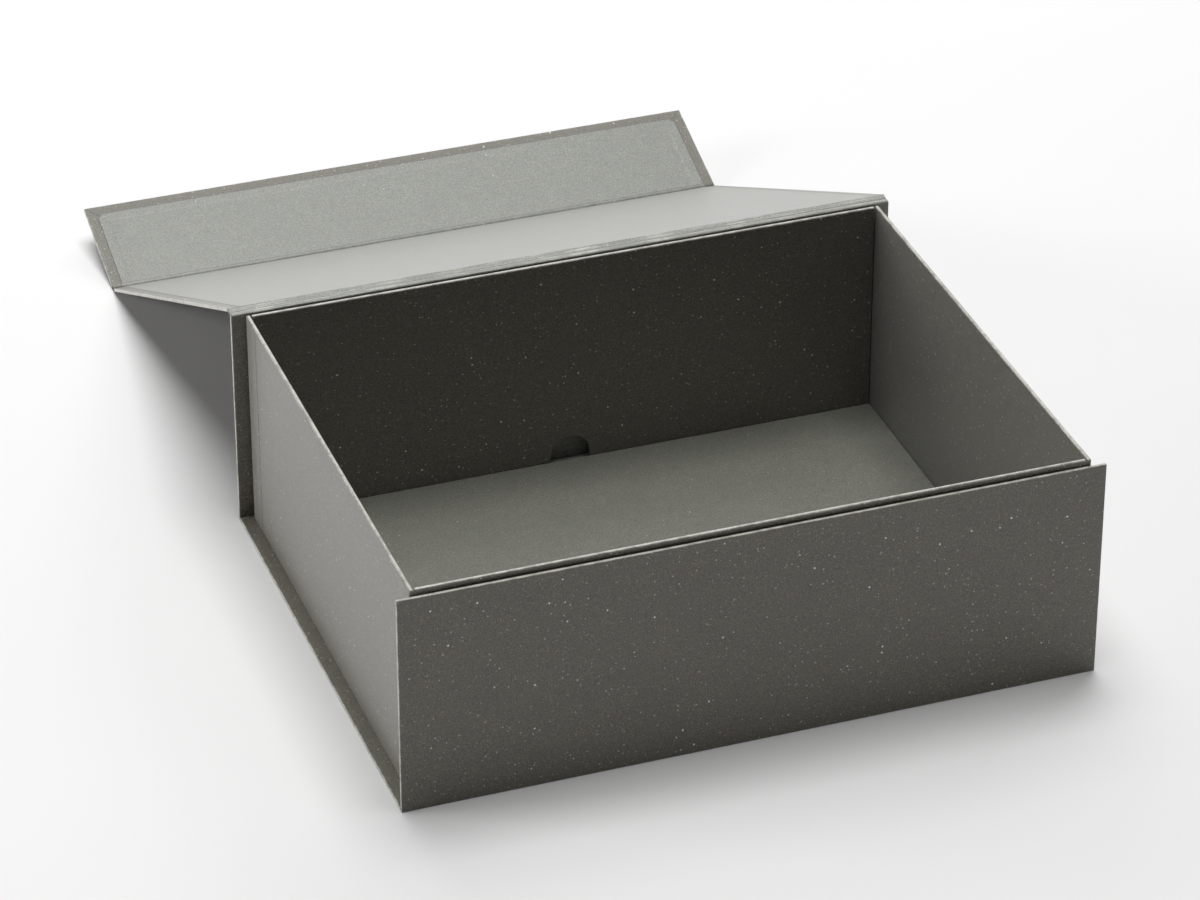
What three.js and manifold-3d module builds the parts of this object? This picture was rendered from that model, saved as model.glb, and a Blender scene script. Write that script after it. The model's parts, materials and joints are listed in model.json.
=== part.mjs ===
// A large flap-lid storage box: a hinged board case around an open tray, with a loose base board.
// Millimetres, +Z up, +X to the right, +Y to the back. The origin is the middle of the case's
// footprint, on the surface that the box stands on. The box stands open, with its lid laid back.
import * as THREE from 'three';
import { mergeVertices } from 'three/addons/utils/BufferGeometryUtils.js';
import Module from 'manifold-3d';

const wasm = await Module();
wasm.setup();

// Case: three boards, the lid and the closing flap, all one width.
const CASE_WIDTH = 460;
const CASE_DEPTH = 355;
const FRONT_HEIGHT = 153.3;
const BACK_HEIGHT = 155.5;
const PANEL = 2.5;
const PAPER = 0.15;
const GLUE = 0.05;
const TURN_IN = 15;
const LINER_MARGIN = 7.5;
const FOOT_GAP = 0.35;
const CORNER_GAP = 0.5;

// Lid and flap. The lid hangs on a gutter, a narrow strip of paper that folds at both its edges:
// at the top of the back panel and at the lid. Closed, the lid lies just above the tray.
const HINGE_PLY = 0.35;
const GUTTER_FOOT_GAP = 0.5;
const GUTTER_LENGTH = 5.1;
const GUTTER_END_GAP = 0.25;
const GUTTER_DROOP_DEG = 5;
const LID_CLOSED_HEIGHT = 157.5;
const LID_DROOP_DEG = 26.1;
const LID_START = 0.5;
const LID_END_MARGIN = 3.5;
const FLAP_STAND_OFF = 1.5;
const FLAP_AXIS_DEPTH = PANEL / 2;
const FLAP_RISE_DEG = 44.4;
const FLAP_START = 3.5;
const FLAP_LENGTH = 81;
const BRIDGE_GAP = 0.3;
const HINGE_STEPS = 10;
const ROUND_STEPS = 48;

// Tray: four paper-wrapped walls joined by paper at the corners.
const TRAY_SIDE_INSET = 9.1;
const TRAY_FRONT_GAP = 0.8;
const TRAY_BACK_GAP = 3.3;
const TRAY_TOP = 157;
const TRAY_FOOT = 2.6;
const CORNER_LEG = 20;
const CORNER_SLACK = 0.8;
const NOTCH_WIDTH = 28;
const NOTCH_ARC_HEIGHT = 8;

// Loose base board, magnets, keeper plates and mounting tape.
const INSERT_PANEL = 2;
const INSERT_CLEARANCE = 1;
const INSERT_LIFT = 0.1;
const MAGNET_RADIUS = 6;
const MAGNET_THICKNESS = 1.2;
const MAGNET_SPREAD = 150;
const MAGNET_REACH = 55;
const PLATE_SIDE = 20;
const PLATE_THICKNESS = 1;
const POCKET_GAP = 0.4;
const TAPE_LENGTH = 380;
const TAPE_WIDTH = 25;
const TAPE_THICKNESS = 0.4;
const TAPE_HEIGHTS = { lower: 32, upper: 122 };

const PAST = 10;
const SKIN = PAPER + GLUE;
const RADIANS = Math.PI / 180;
const HALF_WIDTH = CASE_WIDTH / 2;
const HALF_DEPTH = CASE_DEPTH / 2;
const INNER_HALF_DEPTH = HALF_DEPTH - PANEL;
const GUTTER_FOOT = new THREE.Vector2(HALF_DEPTH - HINGE_PLY / 2, BACK_HEIGHT + GUTTER_FOOT_GAP);
const LID_INNER = PANEL - HINGE_PLY / 2;
const GUTTER_CLOSED_RISE = LID_CLOSED_HEIGHT + LID_INNER - GUTTER_FOOT.y;
const LID_CLOSED_EDGE = GUTTER_FOOT.x - Math.sqrt(GUTTER_LENGTH ** 2 - GUTTER_CLOSED_RISE ** 2);
const LID_LENGTH = LID_CLOSED_EDGE + HALF_DEPTH + FLAP_STAND_OFF + FLAP_AXIS_DEPTH;
const FLAP_AXIS_HEIGHT = LID_INNER - FLAP_AXIS_DEPTH;
const TRAY_HALF_WIDTH = HALF_WIDTH - TRAY_SIDE_INSET;
const TRAY_FRONT = -INNER_HALF_DEPTH + TRAY_FRONT_GAP;
const TRAY_BACK = INNER_HALF_DEPTH - TRAY_BACK_GAP;
const TRAY_HEIGHT = TRAY_TOP - TRAY_FOOT;
const CLOSED_AXIS_HEIGHT = LID_CLOSED_HEIGHT + FLAP_AXIS_DEPTH;

function finish(color, roughness, metalness = 0) {
  return new THREE.MeshStandardMaterial({ color, roughness, metalness });
}

const COVER_PAPER = finish(0x5d5c54, 0.95);
const LINER_PAPER = finish(0x868a82, 0.95);
const GREYBOARD = finish(0x8c8579, 0.98);
const TAPE_FILM = finish(0xd9d6cc, 0.6);
const MAGNET_PLATING = finish(0xb9bbbd, 0.3, 1);
const KEEPER_STEEL = finish(0x9a9c9e, 0.4, 1);

// A closed three.js geometry as a solid that can be joined and cut.
function solid(geometry) {
  const plain = geometry.clone();
  plain.deleteAttribute('normal');
  plain.deleteAttribute('uv');
  const welded = mergeVertices(plain);
  return new wasm.Manifold(new wasm.Mesh({
    numProp: 3,
    vertProperties: new Float32Array(welded.attributes.position.array),
    triVerts: new Uint32Array(welded.index.array),
  }));
}

function piece(name, shape, material) {
  const { vertProperties, triVerts } = shape.getMesh();
  const geometry = new THREE.BufferGeometry();
  geometry.setAttribute('position', new THREE.BufferAttribute(vertProperties, 3));
  geometry.setIndex(new THREE.BufferAttribute(triVerts, 1));
  geometry.computeVertexNormals();
  const mesh = new THREE.Mesh(geometry, material);
  mesh.name = name;
  return mesh;
}

// A block between two limits along each axis.
function block([x0, x1], [y0, y1], [z0, z1]) {
  const geometry = new THREE.BoxGeometry(x1 - x0, y1 - y0, z1 - z0);
  return solid(geometry.translate((x0 + x1) / 2, (y0 + y1) / 2, (z0 + z1) / 2));
}

// A cylinder of a given length that stands along Z around a point.
function disc(radius, length, x, y, z) {
  const geometry = new THREE.CylinderGeometry(radius, radius, length, ROUND_STEPS);
  return solid(geometry.rotateX(Math.PI / 2).translate(x, y, z));
}

function group(position, degrees, ...children) {
  const holder = new THREE.Group();
  holder.position.set(...position);
  holder.rotation.x = degrees * RADIANS;
  return holder.add(...children);
}

// A covered panel lies in X and Y, with its inner face at z = 0 and its outer face at z = -thickness.
// turned names the ends, 'start' and 'end', where the paper is turned in as it is at both sides.
function panelBoard(width, [start, end], turned, thickness = PANEL) {
  return block(
    [-width / 2 + SKIN, width / 2 - SKIN],
    [start + (turned.start ? SKIN : 0), end - (turned.end ? SKIN : 0)],
    [-thickness + SKIN, -2 * SKIN],
  );
}

function panelJacket(width, [start, end], turned, thickness = PANEL) {
  const half = width / 2;
  const along = (inset) => [
    turned.start ? start + inset : start - PAST,
    turned.end ? end - inset : end + PAST,
  ];
  const outside = block([-half, half], [start, end], [-thickness, -SKIN]);
  const across = (inset) => [-half + inset, half - inset];
  const core = block(across(PAPER), along(PAPER), [-thickness + PAPER, -SKIN - PAPER]);
  const window = block(across(TURN_IN), along(TURN_IN), [-SKIN - 2 * PAPER, PAST]);
  return outside.subtract(core).subtract(window);
}

function panelLiner(width, [start, end], turned) {
  const side = width / 2 - LINER_MARGIN;
  return block(
    [-side, side],
    [start + (turned.start ? LINER_MARGIN : 0), end - (turned.end ? LINER_MARGIN : 0)],
    [-PAPER, 0],
  );
}

// The board, cover paper and liner paper of one panel of the case.
function coveredPanel(name, span, turned, board = panelBoard(CASE_WIDTH, span, turned)) {
  return [
    piece(`${name}_board`, board, GREYBOARD),
    piece(`${name}_cover`, panelJacket(CASE_WIDTH, span, turned), COVER_PAPER),
    piece(`${name}_liner`, panelLiner(CASE_WIDTH, span, turned), LINER_PAPER),
  ];
}

// A sheet of paper that runs the width of the case along a curve in Y and Z.
function curvedSheet(name, curve, width, thickness, material) {
  const outline = [];
  for (const side of [1, -1]) {
    for (let step = 0; step <= HINGE_STEPS; step += 1) {
      const t = side > 0 ? step / HINGE_STEPS : 1 - step / HINGE_STEPS;
      const point = curve.getPoint(t);
      const tangent = curve.getTangent(t);
      const offset = (side * thickness) / 2;
      outline.push(new THREE.Vector2(point.x - tangent.y * offset, point.y + tangent.x * offset));
    }
  }
  const geometry = new THREE.ExtrudeGeometry(new THREE.Shape(outline), {
    depth: width,
    bevelEnabled: false,
  });
  geometry.translate(0, 0, -width / 2);
  geometry.applyMatrix4(new THREE.Matrix4().set(0, 0, 1, 0, 1, 0, 0, 0, 0, 1, 0, 0, 0, 0, 0, 1));
  return piece(name, solid(geometry), material);
}

function frontPanel() {
  const span = [0, FRONT_HEIGHT - FOOT_GAP];
  const turned = { start: true };
  const plateDepth = FRONT_HEIGHT - (CLOSED_AXIS_HEIGHT - MAGNET_REACH);
  const half = PLATE_SIDE / 2;
  const middle = -PANEL / 2;
  let board = panelBoard(CASE_WIDTH, span, turned);
  const plates = [];
  for (const [side, sign] of [['left', -1], ['right', 1]]) {
    const x = sign * MAGNET_SPREAD;
    const reach = half + POCKET_GAP;
    const pocket = [plateDepth - reach, plateDepth + reach];
    const thick = [middle - PLATE_THICKNESS / 2, middle + PLATE_THICKNESS / 2];
    const plate = block([x - half, x + half], [plateDepth - half, plateDepth + half], thick);
    board = board.subtract(block([x - reach, x + reach], pocket, [-PANEL, 0]));
    plates.push(piece(`keeper_plate_${side}`, plate, KEEPER_STEEL));
  }
  const panel = coveredPanel('front', span, turned, board);
  return group([0, -INNER_HALF_DEPTH, FRONT_HEIGHT], -90, ...panel, ...plates);
}

function backPanel() {
  const span = [FOOT_GAP, BACK_HEIGHT];
  return group([0, INNER_HALF_DEPTH, 0], 90, ...coveredPanel('back', span, {}));
}

function bottomPanel() {
  const reach = INNER_HALF_DEPTH - CORNER_GAP;
  return group([0, 0, PANEL], 0, ...coveredPanel('bottom', [-reach, reach], {}));
}

// The cover paper where it runs under the feet of the front and back panels.
function footFold(name, side) {
  const edges = [side * HALF_DEPTH, side * (INNER_HALF_DEPTH - CORNER_GAP / 2)];
  edges.sort((a, b) => a - b);
  return piece(name, block([-HALF_WIDTH, HALF_WIDTH], edges, [0, PAPER + GLUE]), COVER_PAPER);
}

function trayWall(length, notched) {
  const half = length / 2;
  const core = block([-half, half], [0, TRAY_HEIGHT - SKIN], [-PANEL + SKIN, -SKIN]);
  const outside = block([-half, half], [0, TRAY_HEIGHT], [-PANEL, 0]);
  const inside = block([-half - PAST, half + PAST], [-PAST, TRAY_HEIGHT - PAPER], [-PANEL + PAPER, -PAPER]);
  const wrap = outside.subtract(inside);
  if (!notched) {
    return { core, wrap };
  }
  const radius = NOTCH_WIDTH / 2;
  const arch = disc(radius, 2 * PAST, 0, NOTCH_ARC_HEIGHT - TRAY_FOOT, 0);
  const below = block([-radius, radius], [-PAST, NOTCH_ARC_HEIGHT - TRAY_FOOT], [-PAST, PAST]);
  const opening = below.add(arch);
  return { core: core.subtract(opening), wrap: wrap.subtract(opening) };
}

// A wall stands up from the tray's foot and faces the inside of the tray, turned about the vertical.
function trayWallGroup(name, length, [x, y], turn, notched = false) {
  const { core, wrap } = trayWall(length, notched);
  const upright = group(
    [0, 0, 0],
    90,
    piece(`tray_${name}_board`, core, GREYBOARD),
    piece(`tray_${name}_wrap`, wrap, LINER_PAPER),
  );
  const holder = group([x, y, TRAY_FOOT], 0, upright);
  holder.rotation.z = turn;
  return holder;
}

// Paper that joins two walls round one outer corner of the tray.
function trayCorner(name, sideX, sideY) {
  const outline = [
    [0, 0],
    [CORNER_LEG, 0],
    [CORNER_LEG, PAPER],
    [PAPER, PAPER],
    [PAPER, CORNER_LEG],
    [0, CORNER_LEG],
  ].map(([x, y]) => new THREE.Vector2(-sideX * x, -sideY * y));
  const geometry = new THREE.ExtrudeGeometry(new THREE.Shape(outline), {
    depth: TRAY_HEIGHT - CORNER_SLACK,
    bevelEnabled: false,
  });
  geometry.translate(sideX * TRAY_HALF_WIDTH, sideY > 0 ? TRAY_BACK : TRAY_FRONT, TRAY_FOOT);
  return piece(`tray_corner_${name}`, solid(geometry), LINER_PAPER);
}

function tray() {
  const wallX = TRAY_HALF_WIDTH - SKIN - PANEL;
  const sideLength = TRAY_BACK - TRAY_FRONT - 2 * SKIN;
  const middle = (TRAY_BACK + TRAY_FRONT) / 2;
  const crossLength = 2 * (wallX - CORNER_SLACK);
  return [
    trayWallGroup('back', crossLength, [0, TRAY_BACK - SKIN - PANEL], 0, true),
    trayWallGroup('front', crossLength, [0, TRAY_FRONT + SKIN + PANEL], Math.PI),
    trayWallGroup('left', sideLength, [-wallX, middle], Math.PI / 2),
    trayWallGroup('right', sideLength, [wallX, middle], -Math.PI / 2),
    trayCorner('front_left', -1, -1),
    trayCorner('front_right', 1, -1),
    trayCorner('back_left', -1, 1),
    trayCorner('back_right', 1, 1),
  ];
}

function mountingTape(name, height) {
  const back = TRAY_FRONT - (TRAY_FRONT_GAP - TAPE_THICKNESS) / 2;
  return piece(`mounting_tape_${name}`, block(
    [-TAPE_LENGTH / 2, TAPE_LENGTH / 2],
    [back - TAPE_THICKNESS, back],
    [height - TAPE_WIDTH / 2, height + TAPE_WIDTH / 2],
  ), TAPE_FILM);
}

// The loose base board lies face up, with its paper turned in underneath on all four sides.
function looseBase() {
  const width = 2 * (TRAY_HALF_WIDTH - SKIN - PANEL - INSERT_CLEARANCE);
  const depth = TRAY_BACK - TRAY_FRONT - 2 * (SKIN + PANEL + INSERT_CLEARANCE);
  const span = [-depth / 2, depth / 2];
  const turned = { start: true, end: true };
  return group(
    [0, (TRAY_BACK + TRAY_FRONT) / 2, PANEL + INSERT_LIFT - SKIN],
    180,
    piece('loose_base_board', panelBoard(width, span, turned, INSERT_PANEL), GREYBOARD),
    piece('loose_base_cover', panelJacket(width, span, turned, INSERT_PANEL), LINER_PAPER),
  );
}

function flap() {
  const span = [FLAP_START, FLAP_LENGTH];
  const turned = { end: true };
  let board = panelBoard(CASE_WIDTH, span, turned);
  const magnets = [];
  for (const [side, sign] of [['left', -1], ['right', 1]]) {
    const x = sign * MAGNET_SPREAD;
    board = board.subtract(disc(MAGNET_RADIUS + POCKET_GAP, 2 * PAST, x, MAGNET_REACH, 0));
    const magnet = disc(MAGNET_RADIUS, MAGNET_THICKNESS, x, MAGNET_REACH, -PANEL / 2);
    magnets.push(piece(`flap_magnet_${side}`, magnet, MAGNET_PLATING));
  }
  const panel = group([0, 0, FLAP_AXIS_DEPTH], 0, ...coveredPanel('flap', span, turned, board), ...magnets);
  return group([0, LID_LENGTH, FLAP_AXIS_HEIGHT], FLAP_RISE_DEG, panel);
}

// The paper between the lid and the flap, bent at the lid's far edge.
function flapHinge() {
  const turn = FLAP_RISE_DEG * RADIANS;
  const bend = new THREE.Vector2(LID_LENGTH, 0);
  const from = new THREE.Vector2(BRIDGE_GAP - LID_END_MARGIN, 0).add(bend);
  const to = new THREE.Vector2(FLAP_START - BRIDGE_GAP, 0)
    .rotateAround(new THREE.Vector2(), turn)
    .add(bend);
  const curve = new THREE.QuadraticBezierCurve(from, bend, to);
  const sheet = curvedSheet('flap_hinge_paper', curve, CASE_WIDTH, HINGE_PLY, COVER_PAPER);
  return group([0, 0, FLAP_AXIS_HEIGHT], 0, sheet);
}

// The lid's own frame starts at the gutter's far fold, and runs away from it along the lid.
function lid() {
  const span = [LID_START, LID_LENGTH - LID_END_MARGIN];
  const edge = gutterPoint(GUTTER_LENGTH);
  const panel = group([0, 0, LID_INNER], 0, ...coveredPanel('lid', span, {}));
  return group([0, edge.x, edge.y], -LID_DROOP_DEG, panel, flapHinge(), flap());
}

// A point on the gutter, at a distance from its fold at the back panel.
function gutterPoint(distance) {
  return new THREE.Vector2(distance, 0)
    .rotateAround(new THREE.Vector2(), -GUTTER_DROOP_DEG * RADIANS)
    .add(GUTTER_FOOT);
}

function gutter() {
  const from = gutterPoint(GUTTER_END_GAP);
  const curve = new THREE.LineCurve(from, gutterPoint(GUTTER_LENGTH - GUTTER_END_GAP));
  return curvedSheet('hinge_gutter_paper', curve, CASE_WIDTH, HINGE_PLY, COVER_PAPER);
}

// Liner paper that bridges from the back panel's inner top edge to the lid's inner face.
function gutterLiner() {
  const droop = -LID_DROOP_DEG * RADIANS;
  const from = new THREE.Vector2(INNER_HALF_DEPTH + BRIDGE_GAP, BACK_HEIGHT + BRIDGE_GAP);
  const to = new THREE.Vector2(LID_START - BRIDGE_GAP, LID_INNER - PAPER / 2)
    .rotateAround(new THREE.Vector2(), droop)
    .add(gutterPoint(GUTTER_LENGTH));
  const crown = new THREE.Vector2(GUTTER_FOOT.x + BRIDGE_GAP, to.y + BRIDGE_GAP);
  const curve = new THREE.QuadraticBezierCurve(from, crown, to);
  return curvedSheet('hinge_gutter_liner', curve, CASE_WIDTH - 2 * LINER_MARGIN, PAPER, LINER_PAPER);
}

const box = new THREE.Group();
box.add(
  frontPanel(),
  backPanel(),
  bottomPanel(),
  footFold('front_foot_fold', -1),
  footFold('back_foot_fold', 1),
  ...tray(),
  ...Object.entries(TAPE_HEIGHTS).map(([name, height]) => mountingTape(name, height)),
  looseBase(),
  gutter(),
  gutterLiner(),
  lid(),
);

export default box;
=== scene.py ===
"""The looks of a large flap-lid storage box of paper-covered board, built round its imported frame."""

import json
import logging
import math
from dataclasses import dataclass, field, replace
from enum import Enum
from typing import Iterable, Sequence

import bmesh
import bpy
from mathutils import Matrix, Vector, noise


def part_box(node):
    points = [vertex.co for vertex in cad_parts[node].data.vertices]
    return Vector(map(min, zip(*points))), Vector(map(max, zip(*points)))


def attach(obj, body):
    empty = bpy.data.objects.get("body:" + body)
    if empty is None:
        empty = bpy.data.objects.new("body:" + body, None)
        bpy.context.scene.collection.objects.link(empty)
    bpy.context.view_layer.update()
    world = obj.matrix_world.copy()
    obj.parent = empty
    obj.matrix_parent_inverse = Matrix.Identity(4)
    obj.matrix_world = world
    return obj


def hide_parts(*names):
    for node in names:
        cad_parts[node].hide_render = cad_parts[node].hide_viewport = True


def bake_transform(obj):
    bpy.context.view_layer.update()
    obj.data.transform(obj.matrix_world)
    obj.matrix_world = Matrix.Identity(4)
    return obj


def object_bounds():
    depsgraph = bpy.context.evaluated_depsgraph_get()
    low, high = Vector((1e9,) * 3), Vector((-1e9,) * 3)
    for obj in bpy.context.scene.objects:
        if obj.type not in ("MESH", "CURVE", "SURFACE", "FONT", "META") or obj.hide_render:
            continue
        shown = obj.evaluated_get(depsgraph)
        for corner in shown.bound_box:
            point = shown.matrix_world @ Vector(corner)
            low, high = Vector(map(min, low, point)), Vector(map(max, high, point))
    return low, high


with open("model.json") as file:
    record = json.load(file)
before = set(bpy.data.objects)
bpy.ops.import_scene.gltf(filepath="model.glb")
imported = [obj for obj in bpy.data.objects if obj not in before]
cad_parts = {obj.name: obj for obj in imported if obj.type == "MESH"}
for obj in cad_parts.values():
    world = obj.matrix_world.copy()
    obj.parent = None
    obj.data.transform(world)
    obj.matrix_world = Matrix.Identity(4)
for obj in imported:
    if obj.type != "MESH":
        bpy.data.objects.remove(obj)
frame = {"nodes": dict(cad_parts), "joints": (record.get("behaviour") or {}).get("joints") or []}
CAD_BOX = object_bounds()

LOG = logging.getLogger("storage_box")
MM = 0.001
WELD = 0.002 * MM
# The mesh attribute of fold scuffing and painted shading: above 0 it lightens scuffed folds and rounded
# edges, partly as a painted highlight; below 0 it darkens seams and creases as painted shade.
WEAR_AND_SHADING = "fold_wear_and_shading"
UP = Vector((0, 0, 1)).freeze()

# Sizes that several sub-assemblies share: the thickness of the paper, the rounding of a covered
# edge, the width of the turned-in paper, and the widest step between a mesh's grid lines.
PAPER = 0.13 * MM
ROUNDING = 0.55 * MM
TURN_IN = 15 * MM
GRID = 9 * MM

Point2 = tuple[float, float]
Row = list[tuple[Vector, float]]


class Side(Enum):
    """The edges of a panel, seen from its inner face."""

    RIGHT = "right"
    END = "end"
    LEFT = "left"
    START = "start"


class InnerFace(Enum):
    """What the folded paper does on the inner face of a panel."""

    BAND = "band"
    FULL = "full"


def spaced(low: float, high: float, step: float, margin: float = 0.5 * MM) -> list[float]:
    """Positions from one end of a run to the other, with a support line close to each end.

    Args:
        low: The first position.
        high: The last position.
        step: The largest distance between neighbours.
        margin: The distance of the support lines from the ends.

    Returns:
        The positions in rising order.
    """
    count = max(2, math.ceil((high - low - 2 * margin) / step))
    inside = [low + margin + (high - low - 2 * margin) * i / count for i in range(count + 1)]
    return [low, *inside, high]


def unevenness(point: Vector, size: float, height: float) -> float:
    """How far a hand-glued surface stands above or below its true place.

    Args:
        point: Where it is, in the box's frame.
        size: The width of its waves in metres.
        height: The largest height of its waves in metres.

    Returns:
        The height in metres.
    """
    return height * noise.noise(point / size + Vector((3.7, 1.3, 8.1)))


@dataclass
class Draft:
    """Points, faces, and fold scuffing and painted shading of a mesh that is being drawn up in a
    panel's own frame.
    """

    axes: Matrix = field(default_factory=lambda: Matrix.Identity(3))
    points: list[Vector] = field(default_factory=list)
    wear_and_shading: list[float] = field(default_factory=list)
    faces: list[tuple[int, ...]] = field(default_factory=list)

    def grid(self, rows: Sequence[Row]) -> None:
        """Adds a patch of quads through rows of points.

        Args:
            rows: Rows of equal length, each a list of points with their scuffing and painted shading.
        """
        first = len(self.points)
        width = len(rows[0])
        for row in rows:
            for point, wear_and_shading in row:
                self.points.append(self.axes @ point)
                self.wear_and_shading.append(wear_and_shading)
        for i in range(len(rows) - 1):
            for j in range(width - 1):
                a = first + i * width + j
                self.faces.append((a, a + 1, a + width + 1, a + width))

    def build(self, name: str, outward: Vector | None = None) -> bpy.types.Object:
        """Welds the patches into one mesh object.

        Args:
            name: The object's name.
            outward: The way that the first face looks, in the panel's frame.

        Returns:
            The new object.
        """
        mesh = bpy.data.meshes.new(name)
        mesh.from_pydata(self.points, [], self.faces)
        layer = mesh.attributes.new(WEAR_AND_SHADING, "FLOAT", "POINT")
        layer.data.foreach_set("value", self.wear_and_shading)
        draft = bmesh.new()
        draft.from_mesh(mesh)
        draft.faces.ensure_lookup_table()
        marker = draft.faces.layers.int.new("first")
        draft.faces[0][marker] = 1
        bmesh.ops.remove_doubles(draft, verts=draft.verts, dist=WELD)
        bmesh.ops.dissolve_degenerate(draft, edges=draft.edges, dist=WELD)
        bmesh.ops.recalc_face_normals(draft, faces=draft.faces)
        if outward is not None:
            first = next(f for f in draft.faces if f[marker] == 1)
            if first.normal.dot(self.axes @ outward) < 0:
                bmesh.ops.reverse_faces(draft, faces=draft.faces)
        draft.faces.layers.int.remove(marker)
        draft.to_mesh(mesh)
        draft.free()
        piece = bpy.data.objects.new(name, mesh)
        bpy.context.scene.collection.objects.link(piece)
        return piece


def settle(piece: bpy.types.Object) -> None:
    """Applies a piece's modifiers to its mesh.

    Args:
        piece: The piece, which is left without modifiers.
    """
    graph = bpy.context.evaluated_depsgraph_get()
    made = bpy.data.meshes.new_from_object(piece.evaluated_get(graph))
    piece.modifiers.clear()
    old = piece.data
    piece.data = made
    made.name = piece.name
    bpy.data.meshes.remove(old)


def smooth(piece: bpy.types.Object, angle: float = 40.0) -> None:
    """Shades a piece smooth, but for edges sharper than an angle.

    Args:
        piece: The piece.
        angle: The sharpest smooth fold, in degrees.
    """
    for polygon in piece.data.polygons:
        polygon.use_smooth = True
    piece.data.set_sharp_from_angle(angle=math.radians(angle))


def thicken(piece: bpy.types.Object, thickness: float) -> None:
    """Gives a sheet its thickness, inward from the surface that is drawn.

    Args:
        piece: The sheet.
        thickness: Its thickness in metres.
    """
    solid = piece.modifiers.new("thickness", "SOLIDIFY")
    solid.thickness = thickness
    solid.offset = -1
    solid.use_even_offset = True
    settle(piece)


def node_axes(normal: Vector, up: Vector) -> Matrix:
    """A panel's own axes: across, along and out of its inner face.

    Args:
        normal: The way that the inner face looks.
        up: The way that the panel runs.

    Returns:
        A rotation from the panel's frame to the box's frame.
    """
    across = up.cross(normal)
    return Matrix((across, up, normal)).transposed()


def panel_axes(board: str, liner: str) -> Matrix:
    """Axes of a covered panel of the case, from its board and from the side that its liner is on.

    Args:
        board: The board's CAD node.
        liner: The liner's CAD node.

    Returns:
        The panel's axes, with x along the box's own X.
    """
    mesh = frame["nodes"][board].data
    normal = max(mesh.polygons, key=lambda p: p.area).normal.copy()
    low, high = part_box(board)
    liner_low, liner_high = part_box(liner)
    if normal.dot(liner_low + liner_high - low - high) < 0:
        normal.negate()
    return node_axes(normal, normal.cross(Vector((1, 0, 0))))


def measured(node: str, axes: Matrix) -> tuple[Vector, Vector]:
    """The lowest and highest corner of a CAD node along a panel's own axes.

    Args:
        node: The CAD node.
        axes: The panel's axes.

    Returns:
        Two corners in the panel's frame.
    """
    inverse = axes.transposed()
    points = [inverse @ v.co for v in frame["nodes"][node].data.vertices]
    low = Vector(min(p[i] for p in points) for i in range(3))
    high = Vector(max(p[i] for p in points) for i in range(3))
    return low, high


def joint(name: str) -> Vector:
    """Where a joint's axis stands, in the box's frame."""
    found = next(j for j in frame["joints"] if j["name"] == name)
    return Vector(found["pos_m"])


def flat(point: Vector) -> Point2:
    """A point's place in the plane of Y and Z."""
    return (point.y, point.z)


def ride(pieces: Iterable[bpy.types.Object], body: str) -> None:
    """Sets pieces on a body and reports each.

    Args:
        pieces: The pieces.
        body: The CAD body that they move with.
    """
    for piece in pieces:
        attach(piece, body)
        LOG.info("%s on %s", piece.name, body)


# ---------------------------------------------------------------- finishes


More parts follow.
